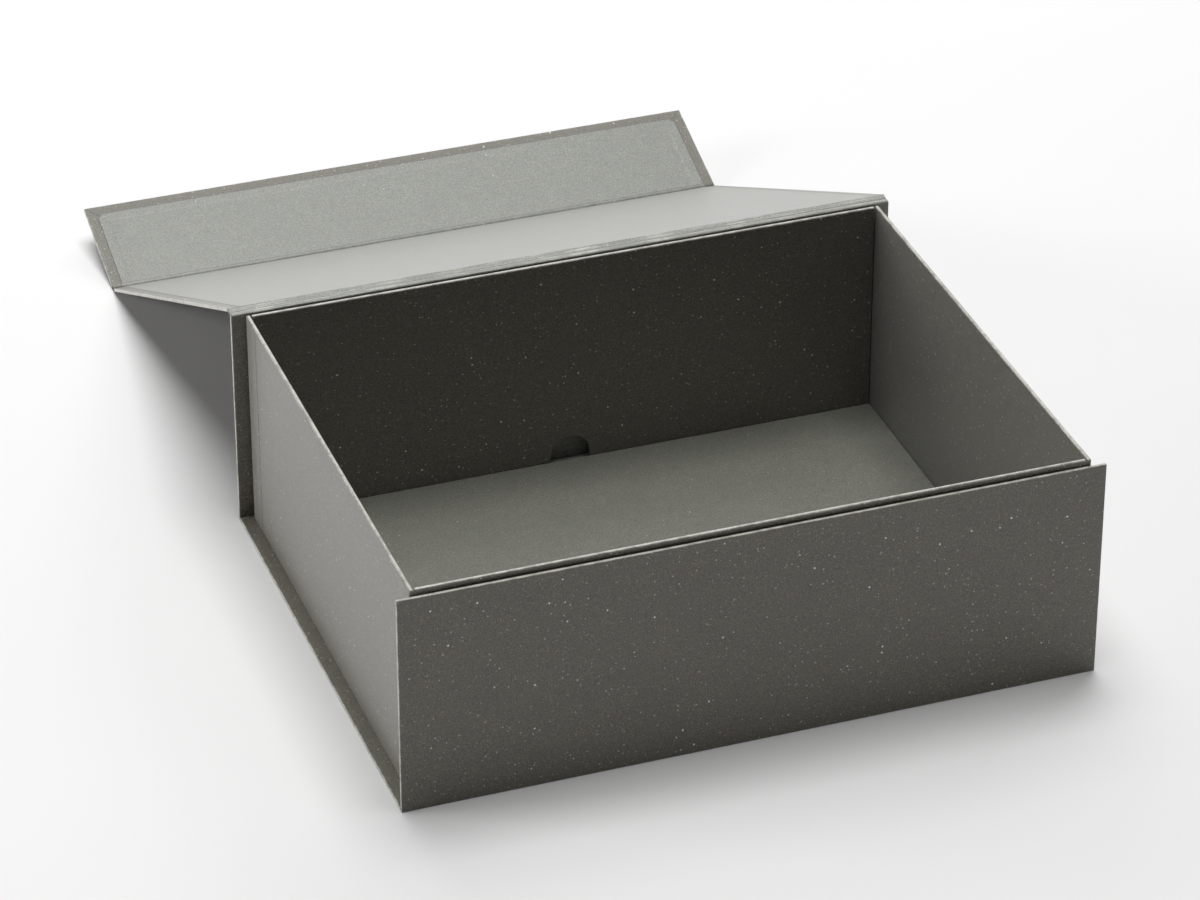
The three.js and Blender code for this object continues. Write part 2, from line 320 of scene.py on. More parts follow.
class NodeSketch:
    """A material's node tree while it is drawn up."""

    def __init__(self, name: str) -> None:
        """Starts an empty tree.

        Args:
            name: The material's name.
        """
        self.material = bpy.data.materials.new(name)
        self.material.use_nodes = True
        self.tree = self.material.node_tree
        self.tree.nodes.clear()
        self.output = self.add("ShaderNodeOutputMaterial")

    def add(self, kind: str, **settings: object) -> bpy.types.Node:
        """Adds a node and sets what is given on it.

        Args:
            kind: The node's type.
            settings: The node's properties.

        Returns:
            The node.
        """
        node = self.tree.nodes.new(kind)
        for key, value in settings.items():
            setattr(node, key, value)
        return node

    def link(self, source: bpy.types.NodeSocket, target: bpy.types.NodeSocket) -> None:
        """Joins two sockets."""
        self.tree.links.new(source, target)

    def place(self, target: bpy.types.NodeSocket, value: object) -> None:
        """Feeds a socket from another socket or sets its value.

        Args:
            target: The socket that is fed.
            value: A socket, a number or a colour.
        """
        if isinstance(value, bpy.types.NodeSocket):
            self.link(value, target)
        else:
            target.default_value = value

    def maths(self, operation: str, a: object, b: object = 0.0) -> bpy.types.NodeSocket:
        """One step of arithmetic on sockets or numbers.

        Args:
            operation: The name of the step.
            a: The first value.
            b: The second value.

        Returns:
            The result.
        """
        node = self.add("ShaderNodeMath", operation=operation)
        self.place(node.inputs[0], a)
        self.place(node.inputs[1], b)
        return node.outputs[0]

    def fade(self, value: object, low: float, high: float, a: float, b: float) -> bpy.types.NodeSocket:
        """A smooth change from one number to another as a value rises.

        Args:
            value: The value that rises.
            low: Where the change starts.
            high: Where the change ends.
            a: The result at the start.
            b: The result at the end.

        Returns:
            The result.
        """
        node = self.add("ShaderNodeMapRange", interpolation_type="SMOOTHSTEP", clamp=True)
        self.place(node.inputs["Value"], value)
        for key, number in (("From Min", low), ("From Max", high), ("To Min", a), ("To Max", b)):
            node.inputs[key].default_value = number
        return node.outputs["Result"]

    def tint(self, share: object, a: object, b: object, how: str = "MIX") -> bpy.types.NodeSocket:
        """Mixes two colours.

        Args:
            share: How much of the second colour shows.
            a: The first colour.
            b: The second colour.
            how: The way of mixing.

        Returns:
            The mixed colour.
        """
        node = self.add("ShaderNodeMix", data_type="RGBA", blend_type=how)
        self.place(node.inputs[0], share)
        self.place(node.inputs[6], a)
        self.place(node.inputs[7], b)
        return node.outputs[2]

    def where(self) -> bpy.types.NodeSocket:
        """The place on the surface, in the piece's own frame."""
        return self.add("ShaderNodeTexCoord").outputs["Object"]

    def clouds(self, place: bpy.types.NodeSocket, size: float, detail: float,
               roughness: float) -> bpy.types.Node:
        """A node of cloudy noise.

        Args:
            place: Where the surface is.
            size: The width of its clouds in metres.
            detail: How many finer layers it has.
            roughness: How strong the finer layers are.

        Returns:
            The node.
        """
        node = self.add("ShaderNodeTexNoise")
        self.link(place, node.inputs["Vector"])
        node.inputs["Scale"].default_value = 1 / size
        node.inputs["Detail"].default_value = detail
        node.inputs["Roughness"].default_value = roughness
        return node

    def noise(self, place: bpy.types.NodeSocket, size: float, detail: float = 2.0,
              roughness: float = 0.5) -> bpy.types.NodeSocket:
        """Cloudy noise from 0 to 1, with the sizes that clouds takes."""
        return self.clouds(place, size, detail, roughness).outputs["Fac"]

    def scaled(self, vector: object, share: object) -> bpy.types.NodeSocket:
        """A colour or place multiplied by a number.

        Args:
            vector: The colour or place.
            share: The number.

        Returns:
            The result.
        """
        node = self.add("ShaderNodeVectorMath", operation="SCALE")
        self.place(node.inputs[0], vector)
        self.place(node.inputs["Scale"], share)
        return node.outputs["Vector"]

    def shades(self, *layers: tuple[object, float, float, float, float]) -> bpy.types.NodeSocket:
        """A tone from several layers, multiplied together.

        Args:
            layers: What fade takes, for each layer.

        Returns:
            The tone.
        """
        tone = self.fade(*layers[0])
        for layer in layers[1:]:
            tone = self.maths("MULTIPLY", tone, self.fade(*layer))
        return tone

    def ragged(self, place: bpy.types.NodeSocket, size: float, reach: float) -> bpy.types.NodeSocket:
        """A place that wanders, so that spots drawn with it get ragged outlines.

        Args:
            place: Where the surface is.
            size: The width of one wave in metres.
            reach: How far it wanders in metres.

        Returns:
            The new place.
        """
        shift = self.scaled(self.clouds(place, size, 1.0, 0.5).outputs["Color"], reach)
        moved = self.add("ShaderNodeVectorMath", operation="ADD")
        self.link(place, moved.inputs[0])
        self.link(shift, moved.inputs[1])
        return moved.outputs["Vector"]

    def surface(self, colour: object, roughness: object, fixed: dict[str, float] | None = None,
                relief: bpy.types.NodeSocket | None = None, depth: float = 0.0) -> bpy.types.Material:
        """Finishes the material with its shader.

        Args:
            colour: The base colour.
            roughness: The roughness.
            fixed: Numbers for the shader's other sockets, by name.
            relief: The height of a fine relief, if it has one.
            depth: The depth of the relief in metres.

        Returns:
            The material.
        """
        shader = self.add("ShaderNodeBsdfPrincipled")
        self.place(shader.inputs["Base Color"], colour)
        self.place(shader.inputs["Roughness"], roughness)
        for name, number in (fixed or {}).items():
            shader.inputs[name].default_value = number
        if relief is not None:
            bump = self.add("ShaderNodeBump")
            bump.inputs["Strength"].default_value = 1.0
            bump.inputs["Distance"].default_value = depth
            self.link(relief, bump.inputs["Height"])
            self.link(bump.outputs["Normal"], shader.inputs["Normal"])
        self.link(shader.outputs["BSDF"], self.output.inputs["Surface"])
        return self.material

    def stretched(self, place: bpy.types.NodeSocket, turn: Sequence[float],
                  scale: Sequence[float]) -> bpy.types.NodeSocket:
        """A place that is turned, then stretched.

        Args:
            place: Where the surface is.
            turn: The turn about each axis in degrees.
            scale: The stretch along each axis.

        Returns:
            The new place.
        """
        rotate = self.add("ShaderNodeMapping", vector_type="POINT")
        self.link(place, rotate.inputs["Vector"])
        rotate.inputs["Rotation"].default_value = [math.radians(a) for a in turn]
        stretch = self.add("ShaderNodeMapping", vector_type="POINT")
        self.link(rotate.outputs["Vector"], stretch.inputs["Vector"])
        stretch.inputs["Scale"].default_value = scale
        return stretch.outputs["Vector"]


@dataclass(frozen=True)
class Flecks:
    """One kind of fleck in recycled paper: size and spacing in metres."""

    radius: float
    spacing: float
    strength: float
    turn: tuple[float, float, float] = (0.0, 0.0, 0.0)
    stretch: tuple[float, float, float] = (1.0, 1.0, 1.0)

    def draw(self, sketch: NodeSketch, place: bpy.types.NodeSocket,
             ) -> tuple[bpy.types.NodeSocket, bpy.types.NodeSocket]:
        """Scatters the flecks through the paper.

        Args:
            sketch: The tree that they go in.
            place: Where the surface is.

        Returns:
            How much fleck shows, and a random number for each fleck.
        """
        turned = sketch.stretched(place, self.turn, self.stretch)
        cells = sketch.add("ShaderNodeTexVoronoi", feature="F1", voronoi_dimensions="3D")
        sketch.link(turned, cells.inputs["Vector"])
        cells.inputs["Scale"].default_value = 1 / self.spacing
        cells.inputs["Randomness"].default_value = 1.0
        split = sketch.add("ShaderNodeSeparateColor")
        sketch.link(cells.outputs["Color"], split.inputs["Color"])
        size = sketch.fade(split.outputs["Red"], 0.0, 1.0, 0.45, 1.0)
        reach = sketch.maths("MULTIPLY", size, self.radius / self.spacing)
        share = sketch.maths("DIVIDE", cells.outputs["Distance"], reach)
        shown = sketch.fade(share, 0.55, 1.0, self.strength, 0.0)
        return shown, split.outputs["Green"]


# The light colour of scuffed, rounded edges: partly scuffing, partly a painted highlight.
PALE_WEAR_AND_HIGHLIGHT = (0.62, 0.61, 0.55, 1.0)
OLIVE_CAST = (0.97, 1.01, 1.0, 1.0)
WARM_CAST = (1.04, 0.99, 0.98, 1.0)
# The range that most of a noise lies in.
SWING = (0.3, 0.7)
UNTURNED = (0, 0, 0)


def opaque(colour: Sequence[float], share: float = 1.0) -> tuple[float, ...]:
    """A colour, darkened to a share of itself, with full opacity."""
    return (*(share * part for part in colour), 1.0)


@dataclass(frozen=True)
class PaperFinish:
    """Matte recycled paper, with grain, cloudy tone, fibres, flecks and scuffed folds, with painted
    highlights on rounded edges and painted shade along seams and creases.
    """

    name: str
    colour: tuple[float, float, float]
    flecks: tuple[Flecks, ...]
    fleck_colours: tuple[tuple[float, float, float], ...]
    cloud: float = 0.03
    grain: float = 0.36
    # How far rounded edges fade to that light colour: scuffing and a painted highlight.
    rubbed_and_highlight: float = 0.5
    # How dark seams and creases get: glue lines and painted shade.
    glue_and_painted_shade: float = 0.95
    bump: float = 0.00004
    roughness: float = 0.5
    burnished: float = 0.14
    sheen: float = 0.15
    specular: float = 0.5
    cloud_size: float = 45 * MM
    patch_size: float = 7 * MM
    cast_size: float = 5 * MM
    grain_size: float = 0.9 * MM
    fibre_size: float = 0.8 * MM
    gloss_swing: float = 0.08

    def fleck_colour(self, sketch: NodeSketch, pick: bpy.types.NodeSocket) -> bpy.types.NodeSocket:
        """Gives each fleck one of the paper's fleck colours.

        Args:
            sketch: The tree that it goes in.
            pick: A random number for each fleck.

        Returns:
            The colour.
        """
        ramp = sketch.add("ShaderNodeValToRGB")
        ramp.color_ramp.interpolation = "CONSTANT"
        elements = ramp.color_ramp.elements
        while len(elements) < len(self.fleck_colours):
            elements.new(0.5)
        for index, colour in enumerate(self.fleck_colours):
            elements[index].position = index / len(self.fleck_colours)
            elements[index].color = opaque(colour)
        sketch.link(pick, ramp.inputs["Fac"])
        return ramp.outputs["Color"]

    def make(self) -> bpy.types.Material:
        """Draws the paper's material.

        Returns:
            The material.
        """
        sketch = NodeSketch(self.name)
        place = sketch.where()
        cloud = sketch.noise(place, self.cloud_size, 3.0, 0.6)
        patch = sketch.noise(place, self.patch_size, 2.0, 0.6)
        grain = sketch.noise(place, self.grain_size, 2.0, 0.75)
        fibre_place = sketch.stretched(place, UNTURNED, (0.35, 1.0, 1.6))
        fibre = sketch.noise(fibre_place, self.fibre_size, 2.0, 0.65)
        # Scuffing and painted shading from the mesh, made patchy: above 0 it lightens scuffed edges
        # with a painted highlight, below 0 it darkens glue lines with painted shade.
        patchy_wear_and_shading = sketch.add("ShaderNodeAttribute", attribute_name=WEAR_AND_SHADING).outputs["Fac"]
        patchy_wear_and_shading = sketch.maths("MULTIPLY", patchy_wear_and_shading, sketch.fade(patch, 0.35, 0.65, 0.5, 1.0))
        tone = sketch.shades(
            (cloud, *SWING, 1 - self.cloud, 1 + self.cloud),
            (patch, *SWING, 0.96, 1.04),
            (grain, *SWING, 1 - self.grain, 1 + self.grain),
            (fibre, *SWING, 0.93, 1.07),
            (patchy_wear_and_shading, -0.8, 0.0, 1 - self.glue_and_painted_shade, 1.0),
        )
        warm = sketch.noise(place, self.cast_size, 3.0, 0.6)
        cast = sketch.tint(sketch.fade(warm, 0.38, 0.62, 0.0, 1.0), OLIVE_CAST, WARM_CAST)
        colour = sketch.tint(1.0, sketch.scaled(self.colour, tone), cast, "MULTIPLY")
        # Rounded edges fade towards the light colour: scuffing and a painted highlight.
        colour = sketch.tint(sketch.fade(patchy_wear_and_shading, 0.0, 1.0, 0.0, self.rubbed_and_highlight), colour, PALE_WEAR_AND_HIGHLIGHT)
        ragged = sketch.ragged(place, 1.1 * MM, 0.55 * MM)
        relief = sketch.maths("MULTIPLY", grain, 0.7)
        relief = sketch.maths("ADD", relief, sketch.maths("MULTIPLY", fibre, 0.5))
        for kind in self.flecks:
            shown, pick = kind.draw(sketch, ragged)
            colour = sketch.tint(shown, colour, self.fleck_colour(sketch, pick))
            relief = sketch.maths("ADD", relief, sketch.maths("MULTIPLY", shown, 0.4))
        gloss = sketch.fade(grain, *SWING, self.roughness - self.gloss_swing,
                            self.roughness + self.gloss_swing)
        burnish = sketch.fade(patchy_wear_and_shading, 0.0, 1.0, 0.0, self.burnished)
        fixed = {"Specular IOR Level": self.specular, "Sheen Weight": self.sheen,
                 "Sheen Roughness": 0.5}
        return sketch.surface(colour, sketch.maths("SUBTRACT", gloss, burnish), fixed, relief,
                              self.bump)


@dataclass(frozen=True)
class BoardFinish:
    """Raw greyboard: layered waste paper with coarse fibres and dark specks."""

    name: str
    colour: tuple[float, float, float]

    def make(self) -> bpy.types.Material:
        """Draws the board's material.

        Returns:
            The material.
        """
        sketch = NodeSketch(self.name)
        place = sketch.where()
        layers = sketch.noise(sketch.stretched(place, UNTURNED, (0.3, 0.3, 6.0)), 0.6 * MM, 3.0, 0.7)
        clumps = sketch.noise(place, 2.5 * MM, 4.0, 0.65)
        specks = sketch.noise(place, 0.35 * MM, 1.0, 0.5)
        tone = sketch.shades((layers, *SWING, 0.85, 1.12), (clumps, *SWING, 0.85, 1.15),
                             (specks, 0.2, 0.4, 0.6, 1.0))
        return sketch.surface(sketch.scaled(self.colour, tone),
                              sketch.fade(clumps, *SWING, 0.88, 0.98),
                              relief=sketch.maths("ADD", clumps, layers), depth=0.1 * MM)


@dataclass(frozen=True)
class TapeFinish:
    """Double-sided tissue tape: pale, slightly shiny, with a wrinkled tissue inside."""

    name: str
    colour: tuple[float, float, float]

    def make(self) -> bpy.types.Material:
        """Draws the tape's material.

        Returns:
            The material.
        """
        sketch = NodeSketch(self.name)
        wrinkles = sketch.stretched(sketch.where(), (0, 20, 0), (0.4, 1.0, 1.5))
        tissue = sketch.noise(wrinkles, 1.5 * MM, 4.0, 0.7)
        shade = sketch.tint(sketch.fade(tissue, 0.35, 0.65, 0.0, 1.0), opaque(self.colour, 0.8),
                            opaque(self.colour))
        return sketch.surface(shade, sketch.fade(tissue, *SWING, 0.35, 0.6), relief=tissue,
                              depth=0.05 * MM)


@dataclass(frozen=True)
class MetalFinish:
    """Plain metal with fine scratches in one direction and faint stains."""

    name: str
    colour: tuple[float, float, float]
    roughness: float
    brushed: float

    def make(self) -> bpy.types.Material:
        """Draws the metal's material.

        Returns:
            The material.
        """
        sketch = NodeSketch(self.name)
        place = sketch.where()
        brushing = sketch.stretched(place, UNTURNED, (1.0, 1.0, self.brushed))
        scratches = sketch.noise(brushing, 0.4 * MM, 2.0, 0.6)
        stains = sketch.noise(place, 5 * MM, 3.0, 0.6)
        shade = sketch.tint(sketch.fade(stains, 0.45, 0.7, 0.0, 1.0), opaque(self.colour),
                            opaque(self.colour, 0.75))
        gloss = sketch.fade(scratches, *SWING, self.roughness * 0.7, self.roughness * 1.4)
        return sketch.surface(shade, gloss, {"Metallic": 1.0}, scratches, 0.01 * MM)


@dataclass(frozen=True)
class TableFinish:
    """The pale matte table top that the box stands on."""

    name: str
    colour: tuple[float, float, float]

    def make(self) -> bpy.types.Material:
        """Draws the table's material.

        Returns:
            The material.
        """
        sketch = NodeSketch(self.name)
        drift = sketch.noise(sketch.where(), 0.6, 2.0, 0.5)
        shade = sketch.tint(sketch.fade(drift, *SWING, 0.0, 1.0), opaque(self.colour),
                            opaque(self.colour, 0.985))
        return sketch.surface(shade, 0.9, {"Specular IOR Level": 0.2})


BRIGHT_FLECKS = Flecks(radius=0.90 * MM, spacing=9.4 * MM, strength=1.0)
FAINT_FLECKS = Flecks(radius=0.72 * MM, spacing=3.9 * MM, strength=0.45)
SPECKS = Flecks(radius=0.52 * MM, spacing=2.0 * MM, strength=0.24)
FIBRES_A = Flecks(radius=0.5 * MM, spacing=8.0 * MM, strength=0.4,
                  turn=(0, 0, 40), stretch=(0.3, 1.6, 1.2))
FIBRES_B = Flecks(radius=0.5 * MM, spacing=8.5 * MM, strength=0.4,
                  turn=(35, 60, 0), stretch=(1.4, 1.3, 0.3))
CREAM = (0.84, 0.80, 0.68)
CHALK = (0.88, 0.89, 0.84)
STRAW = (0.62, 0.52, 0.34)
RUST = (0.45, 0.27, 0.16)

COVER_PAPER = PaperFinish(
    name="cover_paper",
    colour=(0.096, 0.089, 0.064),
    flecks=(SPECKS, FAINT_FLECKS, BRIGHT_FLECKS, FIBRES_A, FIBRES_B),
    fleck_colours=(CREAM, CHALK, CREAM, STRAW, CHALK, CREAM, CHALK, RUST),
    grain=0.55,
    rubbed_and_highlight=0.65,
    roughness=0.44,
    sheen=0.28,
    specular=0.8,
)
LINER_PAPER = PaperFinish(
    name="liner_paper",
    colour=(0.150, 0.157, 0.132),
    flecks=(
        Flecks(radius=0.52 * MM, spacing=2.2 * MM, strength=0.14),
        Flecks(radius=0.68 * MM, spacing=4.6 * MM, strength=0.22),
        Flecks(radius=0.78 * MM, spacing=10.5 * MM, strength=0.45),
        FIBRES_B,
    ),
    fleck_colours=(CREAM, CHALK, STRAW, CHALK),
    grain=0.55,
    rubbed_and_highlight=0.65,
    roughness=0.44,
    sheen=0.35,
    specular=1.0,
)
# The liner paper darkened for the tray, with the cover's flecks: painted shade of the tray's inside.
SHADED_TRAY_PAPER = replace(
    LINER_PAPER,
    name="shaded_tray_paper",
    colour=(0.104, 0.098, 0.078),
    flecks=(SPECKS, FAINT_FLECKS, BRIGHT_FLECKS, FIBRES_B),
    sheen=0.28,
    specular=0.85,
)
# The liner paper a little darker for the loose base: painted shade of the tray's floor.
SHADED_BASE_PAPER = replace(LINER_PAPER, name="shaded_base_paper", colour=(0.147, 0.149, 0.124))
GREYBOARD = BoardFinish(name="greyboard", colour=(0.26, 0.24, 0.20))
MOUNTING_TAPE = TapeFinish(name="mounting_tape", colour=(0.68, 0.66, 0.60))
MAGNET_PLATING = MetalFinish(name="magnet_plating", colour=(0.60, 0.60, 0.60), roughness=0.22,
                             brushed=1.0)
KEEPER_STEEL = MetalFinish(name="keeper_steel", colour=(0.50, 0.50, 0.50), roughness=0.38,
                           brushed=12.0)
TABLE_TOP = TableFinish(name="table_top", colour=(0.78, 0.78, 0.78))


class Finishes:
    """The materials of the box, each made once."""

    def __init__(self) -> None:
        """Makes every material."""
        kinds = (COVER_PAPER, LINER_PAPER, SHADED_TRAY_PAPER, SHADED_BASE_PAPER, GREYBOARD, MOUNTING_TAPE,
                 MAGNET_PLATING, KEEPER_STEEL)
        self.made = {kind.name: kind.make() for kind in kinds}

    def dress(self, piece: bpy.types.Object, slot: str, finish: str = "") -> bpy.types.Object:
        """Gives a piece one of the box's finishes.

        Args:
            piece: The piece or CAD node.
            slot: The material slot, named as in the record.
            finish: The finish, where it isn't the one that the slot is named for.

        Returns:
            The same piece.
        """
        material = self.made[finish or slot]
        if piece.material_slots:
            for holder in piece.material_slots:
                holder.material = material
        else:
            piece.data.materials.append(material)
        return piece


# ---------------------------------------------------------------- paper over board


@dataclass
class FoldedPaper:
    """Paper folded round the edges of a board: sizes in metres, in the panel's frame.

    The outer face lies at the height outer and the turned-in paper at the height inner.
    """

    axes: Matrix
    half_width: float
    start: float
    end: float
    outer: float
    inner: float
    radius: float
    turned: frozenset[Side]
    inside: InnerFace = InnerFace.BAND
    turn_in: float = TURN_IN
    mitre: float = 0.08 * MM
    mitre_taper: float = 2 * MM
    step: float = GRID
    arc_steps: int = 5
    # Scuffing and painted highlight where the rounded edge meets the outer face, and on the turned-in
    # band beside it.
    flat_wear_and_highlight: float = 0.35
    band_wear_and_highlight: float = 0.3
    lap: float = 0.0
    lap_depth: float = 0.08 * MM

    def reach(self, side: Side, inset: float) -> float:
        """Where a line at an inset from one edge lies along its axis.

        Args:
            side: The edge.
            inset: The distance from the edge.

        Returns:
            The place along the axis that crosses the edge.
        """
        if side is Side.RIGHT:
            return self.half_width - inset
        if side is Side.LEFT:
            return -self.half_width + inset
        return self.end - inset if side is Side.END else self.start + inset

    def bound(self, side: Side) -> float:
        """Where the flat of the outer face stops at one edge."""
        return self.reach(side, self.radius if side in self.turned else 0.0)

    def rounding(self) -> list[tuple[float, float, float]]:
        """The profile of a folded edge, from the outer face round to the inner one.

        Returns:
            Inset, height, and scuffing with painted highlight of each point, lightest on the crown of
            the edge.
        """
        profile = []
        for i in range(self.arc_steps + 1):
            angle = math.pi / 2 * i / self.arc_steps
            inset = self.radius * (1 - math.sin(angle))
            height = self.outer + self.radius * (1 - math.cos(angle))
            profile.append((inset, height, self.flat_wear_and_highlight + (1 - self.flat_wear_and_highlight) * math.sin(angle)))
        for i in range(self.arc_steps + 1):
            angle = math.pi / 2 * i / self.arc_steps
            inset = self.radius * (1 - math.cos(angle))
            height = self.inner - self.radius * (1 - math.sin(angle))
            profile.append((inset, height, self.flat_wear_and_highlight + (1 - self.flat_wear_and_highlight) * math.cos(angle)))
        return profile

    def lines(self, side: Side) -> list[float]:
        """The grid lines that cross one edge, along that edge.

        Args:
            side: The edge.

        Returns:
            The places of the lines in rising order.
        """
        if side in (Side.LEFT, Side.RIGHT):
            lines = spaced(self.bound(Side.START), self.bound(Side.END), self.step)
            if self.lap:
                lines += [self.end - self.lap - share * MM for share in (-0.25, 0.0, 0.25)]
            return sorted(lines)
        return spaced(self.bound(Side.LEFT), self.bound(Side.RIGHT), self.step)

    def at(self, side: Side, inset: float, along: float, height: float) -> Vector:
        """A point near one edge.

        Args:
            side: The edge.
            inset: The distance from the edge.
            along: The place along the edge.
            height: The height above the panel's middle.

        Returns:
            The point in the panel's frame.
        """
        across = self.reach(side, inset)
        if side in (Side.LEFT, Side.RIGHT):
            return Vector((across, along, height))
        return Vector((along, across, height))

    def edge_strip(self, draft: Draft, side: Side) -> None:
        """Draws the folded edge along one side.

        Args:
            draft: The mesh that it goes in.
            side: The side.
        """
        rows = [
            [(self.at(side, inset, along, height), wear_and_shading) for along in self.lines(side)]
            for inset, height, wear_and_shading in self.rounding()
        ]
        draft.grid(rows)

    def band_strip(self, draft: Draft, side: Side) -> None:
        """Draws the paper turned in along one side, cut back at the mitred corners.

        Args:
            draft: The mesh that it goes in.
            side: The side.
        """
        insets = spaced(self.radius, self.turn_in, 4 * MM, 0.4 * MM)
        base = self.lines(side)
        upright = side in (Side.LEFT, Side.RIGHT)
        near, far = (Side.START, Side.END) if upright else (Side.LEFT, Side.RIGHT)
        rows = []
        for inset in insets:
            flat_run = inset - self.radius
            cut = flat_run + self.mitre * min(1.0, flat_run / self.mitre_taper)
            low = base[0] + (cut if near in self.turned else 0.0)
            high = base[-1] - (cut if far in self.turned else 0.0)
            span = base[-1] - base[0]
            row = []
            for along in base:
                share = (along - base[0]) / span
                wear_and_shading = self.band_wear_and_highlight * max(0.0, 1 - flat_run / (1 * MM))
                if (share == 0 and near in self.turned) or (share == 1 and far in self.turned):
                    wear_and_shading = -1.0
                row.append((self.at(side, inset, low + (high - low) * share, self.inner), wear_and_shading))
            rows.append(row)
        draft.grid(rows)

    def corner(self, draft: Draft, first: Side, second: Side) -> None:
        """Draws the folded corner between two turned sides.

        Args:
            draft: The mesh that it goes in.
            first: The side across the panel's width.
            second: The side at its start or end.
        """
        sign_x = 1 if first is Side.RIGHT else -1
        sign_y = 1 if second is Side.END else -1
        centre_x = self.reach(first, self.radius)
        centre_y = self.reach(second, self.radius)
        rows = []
        for inset, height, wear_and_shading in self.rounding():
            row = []
            for i in range(self.arc_steps + 1):
                angle = math.pi / 2 * i / self.arc_steps
                x = centre_x + sign_x * (self.radius - inset) * math.cos(angle)
                y = centre_y + sign_y * (self.radius - inset) * math.sin(angle)
                # Corners are lighter still: scuffing and a painted highlight.
                row.append((Vector((x, y, height)), min(1.0, 1.2 * wear_and_shading)))
            rows.append(row)
        draft.grid(rows)

    def face(self, draft: Draft, height: float) -> None:
        """Draws a flat face.

        Args:
            draft: The mesh that it goes in.
            height: The height of the face.
        """
        rows = [
            [(Vector((x, y, height)), 0.0) for x in self.lines(Side.END)]
            for y in self.lines(Side.RIGHT)
        ]
        draft.grid(rows)

    def draw(self, name: str, thickness: float, wave: float = 0.035 * MM) -> bpy.types.Object:
        """Folds the paper.

        Args:
            name: The piece's name.
            thickness: The thickness of the paper, or 0 for a solid body.
            wave: The height of its unevenness.

        Returns:
            The piece.
        """
        draft = Draft(self.axes)
        self.face(draft, self.outer)
        for side in Side:
            if side in self.turned:
                self.edge_strip(draft, side)
                if self.inside is InnerFace.BAND:
                    self.band_strip(draft, side)
        for across in (Side.LEFT, Side.RIGHT):
            for along in (Side.START, Side.END):
                if across in self.turned and along in self.turned:
                    self.corner(draft, across, along)
        if self.inside is InnerFace.FULL:
            self.face(draft, self.inner)
        piece = draft.build(name, -UP)
        normals = [v.normal.copy() for v in piece.data.vertices]
        inverse = self.axes.transposed()
        for vertex, normal in zip(piece.data.vertices, normals):
            local = inverse @ vertex.co
            vertex.co += normal * unevenness(vertex.co, 55 * MM, wave)
            below = self.end - self.lap - local.y
            if self.lap and below > -0.1 * MM and local.z < (self.outer + self.inner) / 2:
                vertex.co += self.axes @ Vector((0, 0, self.lap_depth))
        if thickness:
            thicken(piece, thickness)
        smooth(piece)
        return piece


